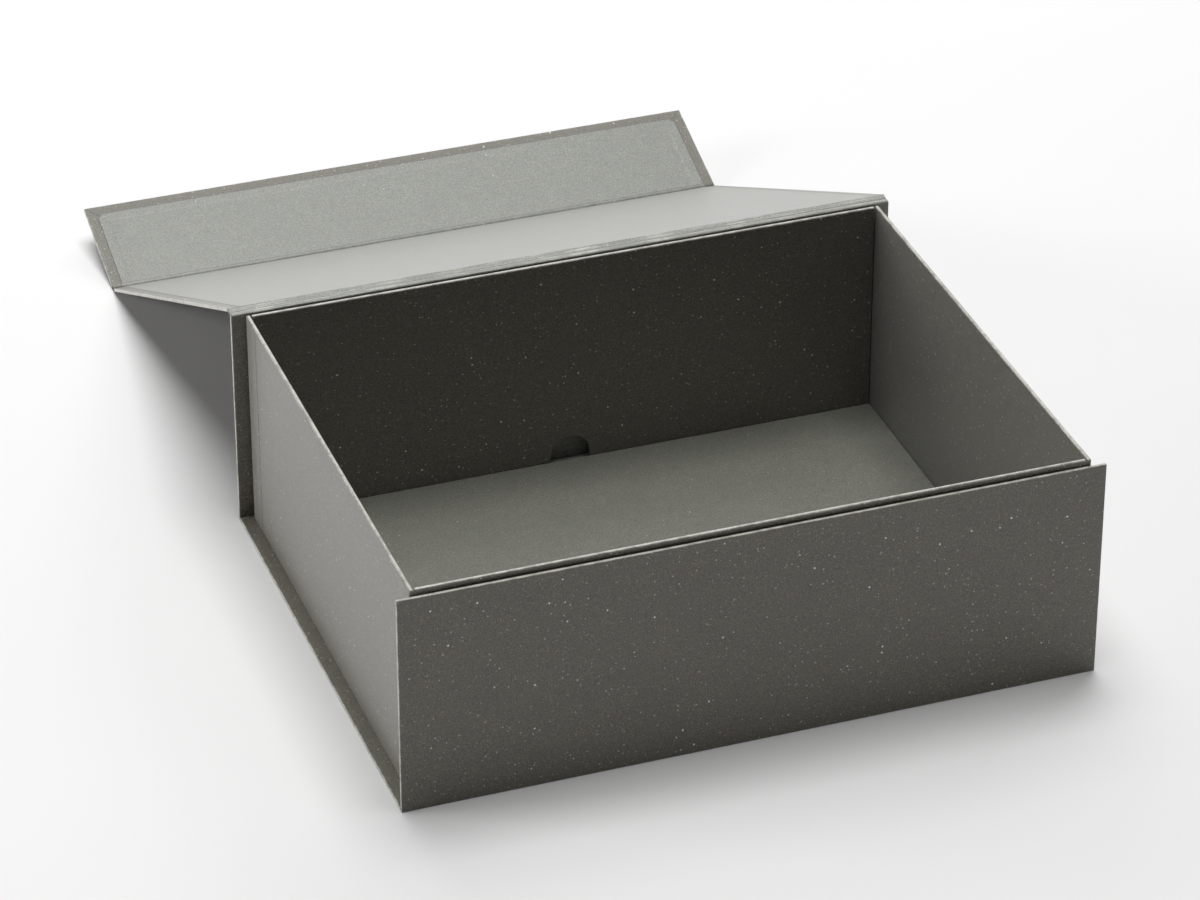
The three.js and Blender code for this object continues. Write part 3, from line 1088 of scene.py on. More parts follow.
@dataclass
class FlatSheet:
    """A sheet glued flat on the inner face of a panel, over the turned-in paper.

    Its surface sinks a little where the turned-in paper underneath ends.
    """

    axes: Matrix
    low: Vector
    high: Vector
    sunk_from: dict[Side, float]
    trimmed: float = 0.0
    sink: float = 0.07 * MM
    ramp: float = 0.8 * MM
    # The width of the dark line along the sheet's edges: a glue line with painted shade of the step at
    # its edge.
    seam: float = 0.42 * MM
    lip: float = 0.12 * MM
    lip_depth: float = 0.06 * MM
    step: float = GRID

    def cuts(self, low: float, high: float, sides: tuple[Side, Side]) -> list[float]:
        """Grid lines across the sheet, with extra lines at its edges and where it sinks.

        Args:
            low: The sheet's lowest position.
            high: The sheet's highest position.
            sides: The sides at those positions.

        Returns:
            The positions in rising order.
        """
        lines = spaced(low, high, self.step, self.lip)
        for margin in (self.seam, self.seam + self.lip):
            lines += [low + margin, high - margin]
        for side, sign, edge in ((sides[0], 1, low), (sides[1], -1, high)):
            if side in self.sunk_from:
                for share in (-0.5, -0.2, 0.2, 0.5):
                    lines.append(edge + sign * (self.sunk_from[side] + share * self.ramp))
        return sorted(lines)

    def glue_and_painted_shade(self, x: float, y: float) -> float:
        """How dark the line along the sheet's edges is at a point: a glue line with painted shade of
        the step there.

        Args:
            x: The place across the panel.
            y: The place along the panel.

        Returns:
            The shading value: below 0 at the sheet's edges, else 0.
        """
        margin = self.seam + 0.01 * MM
        beside = min(x - self.low.x, self.high.x - x) < margin
        along = min(y - self.low.y, self.high.y - y) < margin
        return -1.0 if beside or along else 0.0

    def depth(self, x: float, y: float) -> float:
        """How far the surface lies below the sheet's top.

        Args:
            x: The place across the panel.
            y: The place along the panel.

        Returns:
            The depth in metres.
        """
        gaps = {
            Side.LEFT: x - self.low.x,
            Side.RIGHT: self.high.x - x,
            Side.START: y - self.low.y,
            Side.END: self.high.y - y,
        }
        sunk = 1.0
        for side, start in self.sunk_from.items():
            share = (gaps[side] - start) / self.ramp + 0.5
            share = min(1.0, max(0.0, share))
            sunk = min(sunk, share * share * (3 - 2 * share))
        edge = min(gaps.values())
        lip = self.lip_depth * (1 - edge / self.lip) if edge < self.lip else 0.0
        return sunk * self.sink + lip

    def draw(self, name: str, thickness: float) -> bpy.types.Object:
        """Draws the sheet.

        Args:
            name: The piece's name.
            thickness: The paper's thickness.

        Returns:
            The piece.
        """
        draft = Draft(self.axes)
        xs = self.cuts(self.low.x, self.high.x, (Side.LEFT, Side.RIGHT))
        ys = self.cuts(self.low.y, self.high.y, (Side.START, Side.END))
        rows = []
        for y in ys:
            row = []
            for x in xs:
                place = self.axes @ Vector((x, y, self.high.z))
                height = self.high.z - self.depth(x, y) + unevenness(place, 50 * MM, 0.03 * MM)
                row.append((Vector((x, y, height)), self.glue_and_painted_shade(x, y)))
            rows.append(row)
        draft.grid(rows)
        piece = draft.build(name, UP)
        if self.trimmed:
            self.trim(piece)
        thicken(piece, thickness)
        smooth(piece)
        return piece

    def trim(self, piece: bpy.types.Object) -> None:
        """Cuts the sheet's two end corners off at a slant.

        Args:
            piece: The sheet, before it gets its thickness.
        """
        draft = bmesh.new()
        draft.from_mesh(piece.data)
        for sign, edge in ((-1, self.low.x), (1, self.high.x)):
            corner = Vector((edge - sign * self.trimmed, self.high.y, self.high.z))
            slant = Vector((sign, 1, 0)).normalized()
            bmesh.ops.bisect_plane(draft, geom=[*draft.verts, *draft.edges, *draft.faces],
                                   plane_co=self.axes @ corner, plane_no=self.axes @ slant,
                                   clear_outer=True)
        draft.to_mesh(piece.data)
        draft.free()


@dataclass
class CoveredPanel:
    """One panel of the case: board, folded cover paper and liner paper."""

    name: str
    body: str
    turned: frozenset[Side]
    finishes: Finishes
    also_replaces: tuple[str, ...] = ()
    liner_inset: float = 0.0
    liner_trim: float = 0.0
    radius: float = ROUNDING
    paper: float = PAPER

    def cover(self) -> bpy.types.Object:
        """Folds the cover paper round the board.

        Returns:
            The cover.
        """
        axes = panel_axes(f"{self.name}_board", f"{self.name}_liner")
        low, high = measured(f"{self.name}_cover", axes)
        for node in self.also_replaces:
            fold_low, fold_high = measured(node, axes)
            low.y = min(low.y, fold_low.y)
            high.y = max(high.y, fold_high.y)
        sheet = FoldedPaper(axes, high.x, low.y, high.y, low.z, high.z, self.radius, self.turned)
        piece = sheet.draw(f"{self.name}_cover_paper", self.paper)
        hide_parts(f"{self.name}_cover", *self.also_replaces)
        return self.finishes.dress(piece, "cover_paper")

    def liner(self) -> bpy.types.Object:
        """Lays the liner paper on the inner face.

        Returns:
            The liner.
        """
        axes = panel_axes(f"{self.name}_board", f"{self.name}_liner")
        low, high = measured(f"{self.name}_liner", axes)
        low.x += self.liner_inset
        high.x -= self.liner_inset
        cover_low, cover_high = measured(f"{self.name}_cover", axes)
        gaps = {
            Side.LEFT: low.x - cover_low.x,
            Side.RIGHT: cover_high.x - high.x,
            Side.START: low.y - cover_low.y,
            Side.END: cover_high.y - high.y,
        }
        sunk_from = {side: TURN_IN - gap for side, gap in gaps.items() if gap > 1 * MM}
        sheet = FlatSheet(axes, low, high, sunk_from, self.liner_trim)
        piece = sheet.draw(f"{self.name}_liner_paper", self.paper)
        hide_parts(f"{self.name}_liner")
        return self.finishes.dress(piece, "liner_paper")

    def build(self) -> None:
        """Builds the panel's papers and sets them on the panel's body, and dresses its board."""
        ride((self.cover(), self.liner()), self.body)
        self.finishes.dress(frame["nodes"][f"{self.name}_board"], "greyboard")


class TrayWall(Enum):
    """The walls of the tray, each with the way that its inner face looks."""

    BACK = ("back", (0, -1, 0))
    FRONT = ("front", (0, 1, 0))
    LEFT = ("left", (1, 0, 0))
    RIGHT = ("right", (-1, 0, 0))

    def __init__(self, label: str, inward: tuple[int, int, int]) -> None:
        """Keeps the wall's name and direction."""
        self.label = label
        self.inward = Vector(inward)


@dataclass
class Tray:
    """The open tray: four wrapped walls with rounded tops, joined by paper at the corners."""

    finishes: Finishes
    body: str = "case"
    radius: float = 1.05 * MM
    skin: float = 0.2 * MM
    paper: float = PAPER
    wave: float = 0.05 * MM
    lap: float = 4.5 * MM
    notch_half: float = 14 * MM
    notch_rise: float = 8 * MM
    notch_steps: int = 40
    corner_steps: int = 8

    def notch_cutter(self, wall: TrayWall) -> bpy.types.Object:
        """An upright slab with a round top that cuts the thumb notch.

        Args:
            wall: The wall that is cut.

        Returns:
            The cutter.
        """
        axes = node_axes(wall.inward, UP)
        low, high = measured(f"tray_{wall.label}_wrap", axes)
        past = 5 * MM
        outline = [(self.notch_half, low.y - past)]
        for i in range(self.notch_steps + 1):
            angle = math.pi * i / self.notch_steps
            outline.append((self.notch_half * math.cos(angle),
                            self.notch_rise + self.notch_half * math.sin(angle)))
        outline.append((-self.notch_half, low.y - past))
        depths = (low.z - past, high.z + past)
        points = [axes @ Vector((x, y, z)) for z in depths for x, y in outline]
        size = len(outline)
        faces = [tuple(range(size)), tuple(range(2 * size - 1, size - 1, -1))]
        faces += [(i, (i + 1) % size, (i + 1) % size + size, i + size) for i in range(size)]
        mesh = bpy.data.meshes.new("notch_cutter")
        mesh.from_pydata(points, [], faces)
        draft = bmesh.new()
        draft.from_mesh(mesh)
        bmesh.ops.recalc_face_normals(draft, faces=draft.faces)
        draft.to_mesh(mesh)
        draft.free()
        cutter = bpy.data.objects.new("notch_cutter", mesh)
        bpy.context.scene.collection.objects.link(cutter)
        return cutter

    def cut_notch(self, pieces: Iterable[bpy.types.Object], wall: TrayWall) -> None:
        """Cuts the thumb notch through a wall's pieces.

        Args:
            pieces: The wall's pieces.
            wall: The wall.
        """
        cutter = self.notch_cutter(wall)
        for piece in pieces:
            cut = piece.modifiers.new("notch", "BOOLEAN")
            cut.operation = "DIFFERENCE"
            cut.solver = "EXACT"
            cut.object = cutter
            settle(piece)
            smooth(piece)
        bpy.data.objects.remove(cutter)

    def wall(self, wall: TrayWall) -> list[bpy.types.Object]:
        """Builds one wall: its paper wrap, and its board with rounded edges.

        Args:
            wall: The wall.

        Returns:
            The wrap and the board.
        """
        axes = node_axes(wall.inward, UP)
        low, high = measured(f"tray_{wall.label}_wrap", axes)
        middle = (low.x + high.x) / 2
        half = (high.x - low.x) / 2
        turned = frozenset((Side.LEFT, Side.RIGHT, Side.END))
        wrap = FoldedPaper(axes, half, low.y, high.y, low.z, high.z, self.radius, turned,
                           InnerFace.FULL, lap=self.lap)
        core = FoldedPaper(axes, half - self.skin, low.y, high.y - self.skin, low.z + self.skin,
                           high.z - self.skin, self.radius - self.skin, frozenset(Side), InnerFace.FULL)
        shift = axes @ Vector((middle, 0, 0))
        pieces = [
            wrap.draw(f"tray_{wall.label}_paper", self.paper, self.wave),
            core.draw(f"tray_{wall.label}_core", 0.0, 0.0),
        ]
        for piece in pieces:
            piece.data.transform(Matrix.Translation(shift))
        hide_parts(f"tray_{wall.label}_wrap")
        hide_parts(f"tray_{wall.label}_board")
        self.finishes.dress(pieces[0], "liner_paper", "shaded_tray_paper")
        self.finishes.dress(pieces[1], "greyboard")
        return pieces

    def corner(self, name: str) -> bpy.types.Object:
        """Folds the paper that joins two walls round one outer corner.

        Args:
            name: The corner's name.

        Returns:
            The paper.
        """
        low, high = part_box(f"tray_corner_{name}")
        tray_low, tray_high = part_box("tray_left_wrap")[0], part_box("tray_right_wrap")[1]
        sign_x = -1 if (low.x + high.x) < 0 else 1
        sign_y = -1 if (low.y + high.y) < (tray_low.y + tray_high.y) else 1
        corner_x = high.x if sign_x > 0 else low.x
        corner_y = high.y if sign_y > 0 else low.y
        leg = high.x - low.x
        sunk_end = [(leg, 0.12 * MM), (leg - 0.5 * MM, 0.09 * MM), (leg - 2 * MM, 0.0), (leg / 2, 0.0)]
        path = list(sunk_end)
        for i in range(self.corner_steps + 1):
            angle = math.pi / 2 * i / self.corner_steps
            path.append((self.radius * (1 - math.sin(angle)), self.radius * (1 - math.cos(angle))))
        path += [(across, along) for along, across in reversed(sunk_end)]
        draft = Draft()
        rows = []
        for z in spaced(low.z, high.z, GRID):
            row = []
            for along_x, along_y in path:
                point = Vector((corner_x - sign_x * along_x, corner_y - sign_y * along_y, z))
                # The rounded corner is lightened: scuffing and a painted highlight.
                near = 1.0 - min(1.0, (along_x + along_y) / (2 * MM))
                row.append((point, 0.6 * near))
            rows.append(row)
        draft.grid(rows)
        piece = draft.build(f"tray_corner_{name}_paper")
        away = Vector((sign_x, sign_y, 0))
        if sum(p.normal.dot(away) for p in piece.data.polygons) < 0:
            piece.data.flip_normals()
        thicken(piece, self.paper)
        smooth(piece)
        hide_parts(f"tray_corner_{name}")
        return self.finishes.dress(piece, "liner_paper", "shaded_tray_paper")

    def build(self) -> None:
        """Builds the tray and sets it on the case, and dresses its mounting tapes."""
        pieces: list[bpy.types.Object] = []
        for wall in TrayWall:
            made = self.wall(wall)
            if wall is TrayWall.BACK:
                self.cut_notch(made, wall)
            pieces += made
        for name in ("front_left", "front_right", "back_left", "back_right"):
            pieces.append(self.corner(name))
        ride(pieces, self.body)
        for name in ("mounting_tape_lower", "mounting_tape_upper"):
            self.finishes.dress(frame["nodes"][name], "mounting_tape")


@dataclass
class LooseBase:
    """The loose board on the tray's floor, wrapped in paper that is turned in underneath."""

    finishes: Finishes
    radius: float = ROUNDING
    paper: float = PAPER
    wave: float = 0.05 * MM

    def build(self) -> None:
        """Wraps the board, sets the wrap on the loose base's body, and dresses the board."""
        axes = node_axes(-UP, Vector((0, -1, 0)))
        low, high = measured("loose_base_cover", axes)
        wrap = FoldedPaper(axes, (high.x - low.x) / 2, low.y, high.y, low.z, high.z, self.radius,
                           frozenset(Side))
        piece = wrap.draw("loose_base_paper", self.paper, self.wave)
        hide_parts("loose_base_cover")
        self.finishes.dress(piece, "liner_paper", "shaded_base_paper")
        ride((piece,), "loose_base")
        self.finishes.dress(frame["nodes"]["loose_base_board"], "greyboard")


# ---------------------------------------------------------------- folds


@dataclass
class FoldStrip:
    """Paper along a fold: a line in Y and Z swept across the width of the box."""

    name: str
    half_width: float
    line: list[Point2]
    thickness: float
    slot: str
    finishes: Finishes
    # A point on the crease, where the strip is darkened as painted shade.
    shaded_crease: Point2 | None = None
    end_drop: float = 0.0
    ridges: float = 0.05 * MM
    # Scuffing and painted shading along the whole strip: above 0 lightens it with a painted highlight,
    # below 0 darkens it as painted shade.
    rub_and_shading: float = 0.25
    # How much lighter and darker the strip gets along its ridges: painted light and shade of the
    # creases.
    streak_shading: float = 0.9
    finish: str = ""
    grid: float = 6 * MM
    end_steps: int = 6

    def smooth_line(self, step: float = 0.4 * MM) -> list[Vector]:
        """A smooth curve through the line's points.

        Args:
            step: The longest stretch between neighbouring points.

        Returns:
            The points of the curve, in the plane of Y and Z.
        """
        given = [Vector((0, y, z)) for y, z in self.line]
        ends = [2 * given[0] - given[1], *given, 2 * given[-1] - given[-2]]
        curve = []
        for i in range(1, len(ends) - 2):
            a, b, c, d = ends[i - 1], ends[i], ends[i + 1], ends[i + 2]
            count = max(2, math.ceil((c - b).length / step))
            for part in range(count):
                t = part / count
                curve.append(0.5 * (2 * b + (c - a) * t + (2 * a - 5 * b + 4 * c - d) * t * t
                                    + (3 * b - a - 3 * c + d) * t * t * t))
        curve.append(given[-1])
        return curve

    def across(self) -> list[tuple[float, float]]:
        """Places across the strip, and how far the strip has sunk at each.

        Returns:
            Pairs of a place and a depth, from left to right.
        """
        if not self.end_drop:
            return [(x, 0.0) for x in spaced(-self.half_width, self.half_width, self.grid)]
        level = self.half_width - self.end_drop
        places = [(x, 0.0) for x in spaced(-level, level, self.grid)]
        for i in range(1, self.end_steps + 1):
            angle = math.pi / 2 * i / self.end_steps
            reach = level + self.end_drop * math.sin(angle)
            depth = self.end_drop * (1 - math.cos(angle))
            places.append((reach, depth))
            places.insert(0, (-reach, depth))
        return places

    def draw(self, outward: Vector) -> bpy.types.Object:
        """Sweeps the strip, with fine ridges along it where the paper has been creased, painted lighter
        and darker along the ridges and painted darker at the crease.

        Args:
            outward: The way that its shown side looks at its first end.

        Returns:
            The strip.
        """
        curve = self.smooth_line()
        draft = Draft()
        rows = []
        run = 0.0
        sense = 0.0
        for i, point in enumerate(curve):
            before, after = curve[max(0, i - 1)], curve[min(len(curve) - 1, i + 1)]
            tangent = (after - before).normalized()
            normal = Vector((0, -tangent.z, tangent.y))
            if not sense:
                sense = 1.0 if normal.dot(outward) > 0 else -1.0
            normal *= sense
            run += (point - curve[max(0, i - 1)]).length
            near = 0.0
            if self.shaded_crease is not None:
                gap = (point - Vector((0, *self.shaded_crease))).length
                near = max(0.0, 1.0 - gap / (0.7 * MM))
            row = []
            for x, depth in self.across():
                streak = noise.noise(Vector((x / (28 * MM), run / (0.75 * MM), 5.0)))
                ridge = self.ridges * streak + unevenness(Vector((x, run, 0)), 22 * MM, 0.04 * MM)
                edge = 0.0 if i in (0, len(curve) - 1) else 1.0
                place = point + Vector((x, 0, 0)) + normal * (ridge * edge - depth)
                # Painted light and shade: lighter along the ridges and the scuffed fold, darker at the
                # crease.
                wear_and_shading = self.rub_and_shading + self.streak_shading * streak - 1.3 * near
                row.append((place, min(1.0, max(-1.0, wear_and_shading))))
            rows.append(row)
        draft.grid(rows)
        piece = draft.build(self.name, outward)
        thicken(piece, self.thickness)
        smooth(piece, 50)
        return self.finishes.dress(piece, self.slot, self.finish)


def beside(line: Sequence[Point2], distance: float) -> list[Point2]:
    """A line that runs beside another, to the right of its direction.

    Args:
        line: The points of the first line, in Y and Z.
        distance: How far beside it the new line runs.

    Returns:
        The points of the new line.
    """
    moved = []
    for i, point in enumerate(line):
        before, after = line[max(0, i - 1)], line[min(len(line) - 1, i + 1)]
        run = Vector((after[0] - before[0], after[1] - before[1])).normalized()
        moved.append((point[0] + run.y * distance, point[1] - run.x * distance))
    return moved


@dataclass
class LidHinge:
    """The gutter between back panel and lid, folded at both its edges.

    Its cover paper runs outside and its liner paper inside, each in two parts that meet in the
    middle of the gutter: the lower bends at the back panel and the upper at the lid.
    """

    finishes: Finishes
    paper: float = PAPER
    clearance: float = 0.1 * MM
    turn_in_depth: float = 0.16 * MM
    end_drop: float = 1.1 * MM
    foot_bend: Point2 = (0.9 * MM, 1.2 * MM)
    edge_bend: Point2 = (1.2 * MM, 1.0 * MM)

    def cover_lines(self, foot: Vector, edge: Vector) -> tuple[list[Point2], list[Point2]]:
        """The lines of the cover paper, from the back panel to the lid.

        Args:
            foot: The fold at the back panel.
            edge: The fold at the lid.

        Returns:
            The lower and the upper line.
        """
        lid_axes = panel_axes("lid_board", "lid_liner")
        back_low, back_high = measured("back_cover", panel_axes("back_board", "back_liner"))
        lid_low = measured("lid_cover", lid_axes)[0]
        lid_outer = lid_axes @ Vector((0, lid_low.y, lid_low.z))
        lid_run = lid_axes @ Vector((0, 1, 0))
        along = (edge - foot).normalized()
        below = Vector((0, along.z, -along.y))
        skin = self.paper / 2 + self.clearance
        middle = flat((foot + edge) / 2 + below * skin)
        lower = [
            (-back_low.z, back_high.y - 0.02 * MM),
            (-back_low.z, back_high.y + 0.15 * MM),
            flat(foot + below * skin + along * 0.55 * MM),
            flat(foot + below * skin + along * 1.2 * MM),
            middle,
        ]
        upper = [
            middle,
            flat(edge + below * skin - along * 1.2 * MM),
            flat(edge + below * skin * 1.05 - along * 0.2 * MM),
            flat(lid_outer - lid_run * 0.2 * MM),
            flat(lid_outer + lid_run * 0.02 * MM),
        ]
        return lower, upper

    def liner_lines(self, foot: Vector, edge: Vector) -> tuple[list[Point2], list[Point2]]:
        """The lines of the liner paper, from the back panel to the lid.

        Args:
            foot: The fold at the back panel.
            edge: The fold at the lid.

        Returns:
            The lower and the upper line.
        """
        lid_axes = panel_axes("lid_board", "lid_liner")
        back_high = measured("back_cover", panel_axes("back_board", "back_liner"))[1]
        liner_low, liner_high = measured("lid_liner", lid_axes)
        lid_inner = lid_axes @ Vector((0, liner_low.y, liner_high.z))
        lid_run = lid_axes @ Vector((0, 1, 0))
        inner, top = -back_high.z, back_high.y
        crease_y = ((foot + edge) / 2).y - 0.6 * MM
        crease = (crease_y, top + 0.75 * MM)
        lower = [
            (inner, top - 0.05 * MM),
            (inner + 0.12 * MM, top + 0.35 * MM),
            (inner + 0.6 * MM, top + 0.85 * MM),
            (inner + 1.5 * MM, top + 1.1 * MM),
            (crease_y - 1.4 * MM, top + 1.15 * MM),
            (crease_y - 0.35 * MM, top + 1.05 * MM),
            crease,
        ]
        upper = [
            crease,
            (crease_y + 0.35 * MM, top + 1.0 * MM),
            (crease_y + 1.2 * MM, top + 1.3 * MM),
            (lid_inner.y - 1.2 * MM, lid_inner.z - 0.12 * MM),
            (lid_inner.y - 0.3 * MM, lid_inner.z + 0.02 * MM),
            flat(lid_inner + lid_run * 0.05 * MM),
        ]
        return lower, upper

    def bend(self, piece: bpy.types.Object, foot: Vector, edge: Vector, lower: bool) -> None:
        """Bakes a paper's placement into its mesh.

        Args:
            piece: The paper.
            foot: Not used.
            edge: Not used.
            lower: Whether the paper is the lower part, at the back panel.
        """
        if lower:
            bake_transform(piece)
        else:
            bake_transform(piece)

    def build(self) -> None:
        """Builds the papers in their lower and upper parts."""
        foot, edge = joint("lid_hinge"), joint("gutter_fold")
        half = measured("back_cover", panel_axes("back_board", "back_liner"))[1].x
        liner_half = measured("lid_liner", panel_axes("lid_board", "lid_liner"))[1].x
        covers, liners = self.cover_lines(foot, edge), self.liner_lines(foot, edge)
        turn_ins = [beside(line, self.turn_in_depth) for line in liners]
        outside, inside = (Vector((0, 1, 0)), -UP), (Vector((0, -1, 0)), UP)
        papers = (
            ("hinge_cover", covers, half, outside, 0.0, "cover_paper", "", "hinge_gutter_paper"),
            ("hinge_turn_in", turn_ins, half, inside, self.end_drop, "cover_paper", "liner_paper", ""),
            ("hinge_liner", liners, liner_half, inside, 0.0, "liner_paper", "", "hinge_gutter_liner"),
        )
        for name, lines, reach, outward, drop, slot, finish, stood_for in papers:
            for part, part_name in enumerate(("lower", "upper")):
                lower = part == 0
                line = lines[part]
                strip = FoldStrip(f"{name}_{part_name}", reach, line, self.paper, slot, self.finishes,
                                  line[-1] if lower else line[0], drop, finish=finish)
                piece = strip.draw(outward[part])
                if stood_for and lower:
                    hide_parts(stood_for)
                self.bend(piece, foot, edge, lower)
                LOG.info("%s across a fold of the gutter", piece.name)


@dataclass
class FlapHinge:
    """The fold between lid and flap: cover paper outside and liner paper in the valley."""

    finishes: Finishes
    paper: float = PAPER
    turn_in_depth: float = 0.16 * MM
    end_drop: float = 0.5 * MM
    ridges: float = 0.02 * MM
    # Below 0: the papers along the fold are darkened as painted shade.
    rub_and_shading: float = -0.35
    streak_shading: float = 0.1
    bend: float = 2.0 * MM

    def build(self) -> None:
        """Builds the papers along the fold between lid and flap."""
        axis = joint("flap_hinge")
        lid_axes = panel_axes("lid_board", "lid_liner")
        flap_axes = panel_axes("flap_board", "flap_liner")
        lid_low, lid_high = measured("lid_cover", lid_axes)
        flap_low = measured("flap_cover", flap_axes)[0]
        lid_liner = measured("lid_liner", lid_axes)[1]
        flap_liner_low, flap_liner_high = measured("flap_liner", flap_axes)
        lid_run, flap_run = lid_axes @ Vector((0, 1, 0)), flap_axes @ Vector((0, 1, 0))
        lid_up, flap_up = lid_axes @ UP, flap_axes @ UP
        mean_up = (lid_up + flap_up).normalized()
        lid_outer = lid_axes @ Vector((0, lid_high.y, lid_low.z))
        flap_outer = flap_axes @ Vector((0, flap_low.y, flap_low.z))
        lid_inner = lid_axes @ Vector((0, lid_liner.y, lid_liner.z))
        flap_inner = flap_axes @ Vector((0, flap_liner_low.y, flap_liner_high.z))
        cover_line = [
            flat(lid_outer - lid_run * 0.02 * MM),
            flat(lid_outer + lid_run * 0.8 * MM + lid_up * 0.15 * MM),
            flat(axis - mean_up * 0.35 * MM - lid_run * 1.2 * MM),
            flat(axis - mean_up * 0.25 * MM),
            flat(axis - mean_up * 0.35 * MM + flap_run * 1.2 * MM),
            flat(flap_outer - flap_run * 0.8 * MM + flap_up * 0.15 * MM),
            flat(flap_outer + flap_run * 0.02 * MM),
        ]
        liner_line = [
            flat(lid_inner - lid_run * 0.02 * MM),
            flat(lid_inner + lid_run * 1.6 * MM - lid_up * 0.05 * MM),
            flat(lid_inner + lid_run * 2.9 * MM - lid_up * 0.35 * MM),
            flat(axis + mean_up * 0.45 * MM),
            flat(flap_inner - flap_run * 2.2 * MM - flap_up * 0.35 * MM),
            flat(flap_inner - flap_run * 1.2 * MM - flap_up * 0.05 * MM),
            flat(flap_inner + flap_run * 0.02 * MM),
        ]
        turn_in = beside(liner_line, self.turn_in_depth)
        papers = (
            ("flap_hinge_cover", cover_line, lid_high.x, "cover_paper", -UP, 0.0),
            ("flap_hinge_turn_in", turn_in, lid_high.x, "cover_paper", UP, self.end_drop),
            ("flap_hinge_liner", liner_line, lid_liner.x, "liner_paper", UP, 0.0),
        )
        for name, line, reach, slot, outward, drop in papers:
            strip = FoldStrip(name, reach, line, self.paper, slot, self.finishes, line[3], drop,
                              self.ridges, self.rub_and_shading, self.streak_shading)
            piece = strip.draw(outward)
            if name == "flap_hinge_cover":
                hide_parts("flap_hinge_paper")
            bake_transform(piece)
            LOG.info("%s between lid and flap", piece.name)


@dataclass
class FlapClosure:
    """The flap's magnets and the steel plates that they meet, hidden in the boards."""

    finishes: Finishes

    def build(self) -> None:
        """Dresses the magnets and plates."""
        for side in ("left", "right"):
            self.finishes.dress(frame["nodes"][f"flap_magnet_{side}"], "magnet_plating")
            self.finishes.dress(frame["nodes"][f"keeper_plate_{side}"], "keeper_steel")
        LOG.info("magnets and keeper plates")


# ---------------------------------------------------------------- stage


@dataclass(frozen=True)
class SoftLight:
    """A square studio light that looks at a point."""

    name: str
    place: tuple[float, float, float]
    target: tuple[float, float, float]
    size: float
    power: float
    colour: tuple[float, float, float] = (1.0, 1.0, 1.0)

    def make(self) -> bpy.types.Object:
        """Hangs the light.

        Returns:
            The light.
        """
        data = bpy.data.lights.new(self.name, "AREA")
        data.shape = "SQUARE"
        data.size = self.size
        data.energy = self.power
        data.color = self.colour
        light = bpy.data.objects.new(self.name, data)
        light.location = self.place
        aim = Vector(self.target) - Vector(self.place)
        light.rotation_euler = aim.to_track_quat("-Z", "Y").to_euler()
        bpy.context.scene.collection.objects.link(light)
        return light


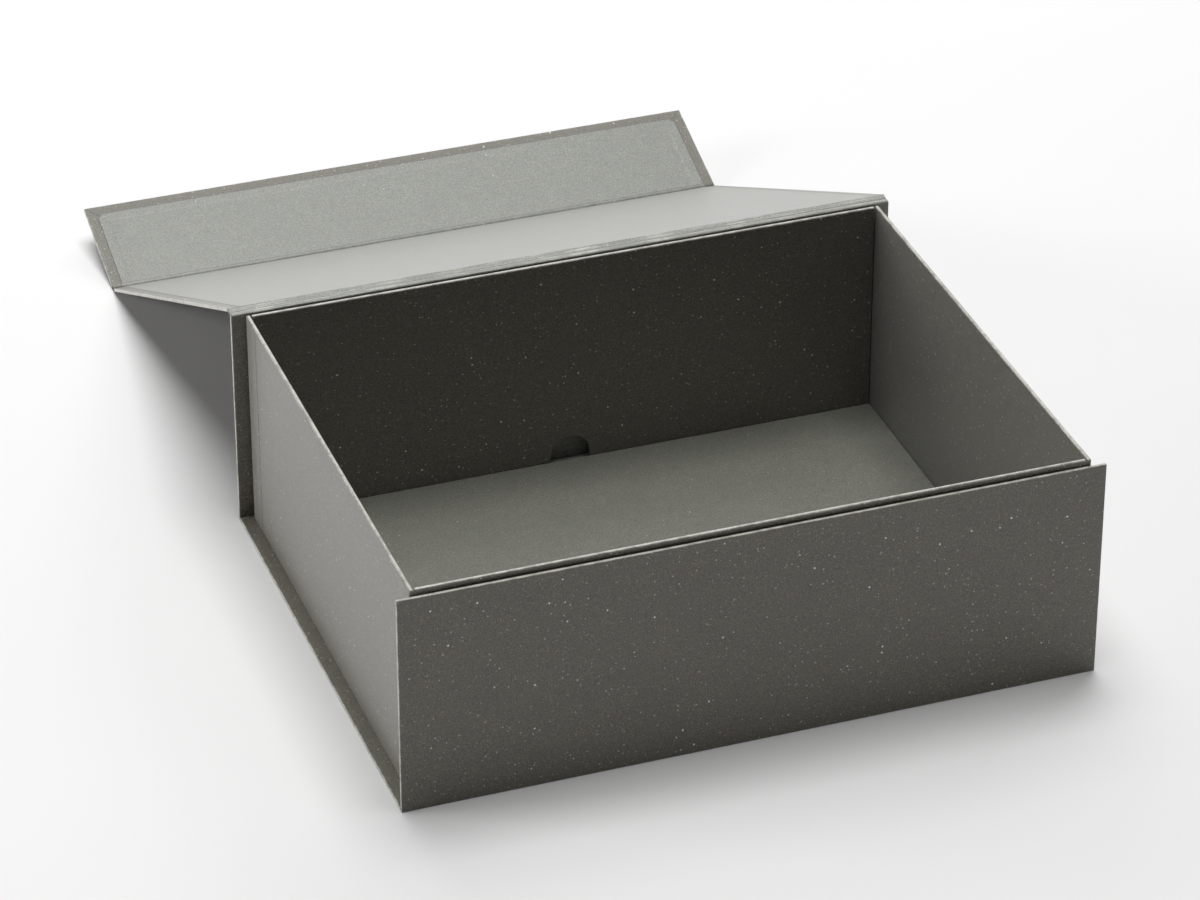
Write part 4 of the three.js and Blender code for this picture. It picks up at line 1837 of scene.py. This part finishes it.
@dataclass
class Studio:
    """The pale table, the soft lights and the camera."""

    ambient: float = 0.022
    lights: tuple[SoftLight, ...] = (
        SoftLight("top_light", (0.0, 0.2, 4.4), (0.0, 0.1, 0.1), 2.6, 142.0),
        SoftLight("top_back_light", (0.3, 1.6, 4.2), (0.0, 0.1, 0.1), 2.4, 56.0),
        SoftLight("back_light", (0.6, 4.5, 1.6), (0.0, 0.1, 0.1), 3.0, 66.0),
        SoftLight("right_back_light", (2.6, 2.6, 2.8), (0.0, 0.1, 0.1), 2.2, 34.0),
        SoftLight("left_light", (-4.1, 1.3, 0.9), (0.0, 0.0, 0.1), 1.6, 94.0),
        SoftLight("right_front_light", (2.6, -3.2, 2.6), (0.0, 0.0, 0.1), 2.2, 8.0),
    )
    camera_place: tuple[float, float, float] = (-0.9513, -2.5589, 1.7832)
    camera_azimuth: float = -19.624
    camera_elevation: float = 31.529
    lens: float = 150.85
    table_reach: float = 8.0

    def table(self) -> None:
        """Lays the table top under the box."""
        draft = Draft()
        lines = spaced(-self.table_reach, self.table_reach, 1.0, 0.1)
        floor = CAD_BOX[0].z
        draft.grid([[(Vector((x, y, floor)), 0.0) for x in lines] for y in lines])
        top = draft.build("table_top", UP)
        top.data.materials.append(TABLE_TOP.make())

    def camera(self) -> None:
        """Sets up the camera."""
        data = bpy.data.cameras.new("camera")
        data.lens = self.lens
        data.sensor_width = 36.0
        camera = bpy.data.objects.new("camera", data)
        azimuth = math.radians(self.camera_azimuth)
        elevation = math.radians(self.camera_elevation)
        back = Vector((
            math.sin(azimuth) * math.cos(elevation),
            -math.cos(azimuth) * math.cos(elevation),
            math.sin(elevation),
        ))
        camera.location = self.camera_place
        camera.rotation_euler = (-back).to_track_quat("-Z", "Y").to_euler()
        bpy.context.scene.collection.objects.link(camera)
        bpy.context.scene.camera = camera

    def world(self) -> None:
        """Gives the room an even, pale light."""
        world = bpy.data.worlds.new("studio")
        world.use_nodes = True
        background = world.node_tree.nodes["Background"]
        background.inputs["Color"].default_value = (1.0, 1.0, 1.0, 1.0)
        background.inputs["Strength"].default_value = self.ambient
        bpy.context.scene.world = world
        bpy.context.scene.view_settings.view_transform = "Standard"

    def build(self) -> None:
        """Sets up the table, the camera, the room and the lights."""
        self.table()
        self.camera()
        self.world()
        for light in self.lights:
            light.make()
            LOG.info("%s at %s", light.name, light.place)


def main() -> None:
    """Builds the box and its stage in order."""
    logging.basicConfig(level=logging.INFO, format="%(name)s: %(message)s")
    finishes = Finishes()
    sides = (Side.LEFT, Side.RIGHT)
    panels = (
        CoveredPanel("front", "case", frozenset((*sides, Side.START, Side.END)), finishes,
                     ("front_foot_fold",)),
        CoveredPanel("bottom", "case", frozenset(sides), finishes, liner_inset=3 * MM),
        CoveredPanel("back", "case", frozenset((*sides, Side.START)), finishes, ("back_foot_fold",),
                     liner_inset=3 * MM),
        CoveredPanel("lid", "lid", frozenset(sides), finishes),
        CoveredPanel("flap", "flap", frozenset((*sides, Side.END)), finishes, liner_trim=5 * MM),
    )
    for panel in panels:
        panel.build()
    Tray(finishes).build()
    LooseBase(finishes).build()
    LidHinge(finishes).build()
    FlapHinge(finishes).build()
    FlapClosure(finishes).build()
    Studio().build()


if __name__ == "__main__":
    main()
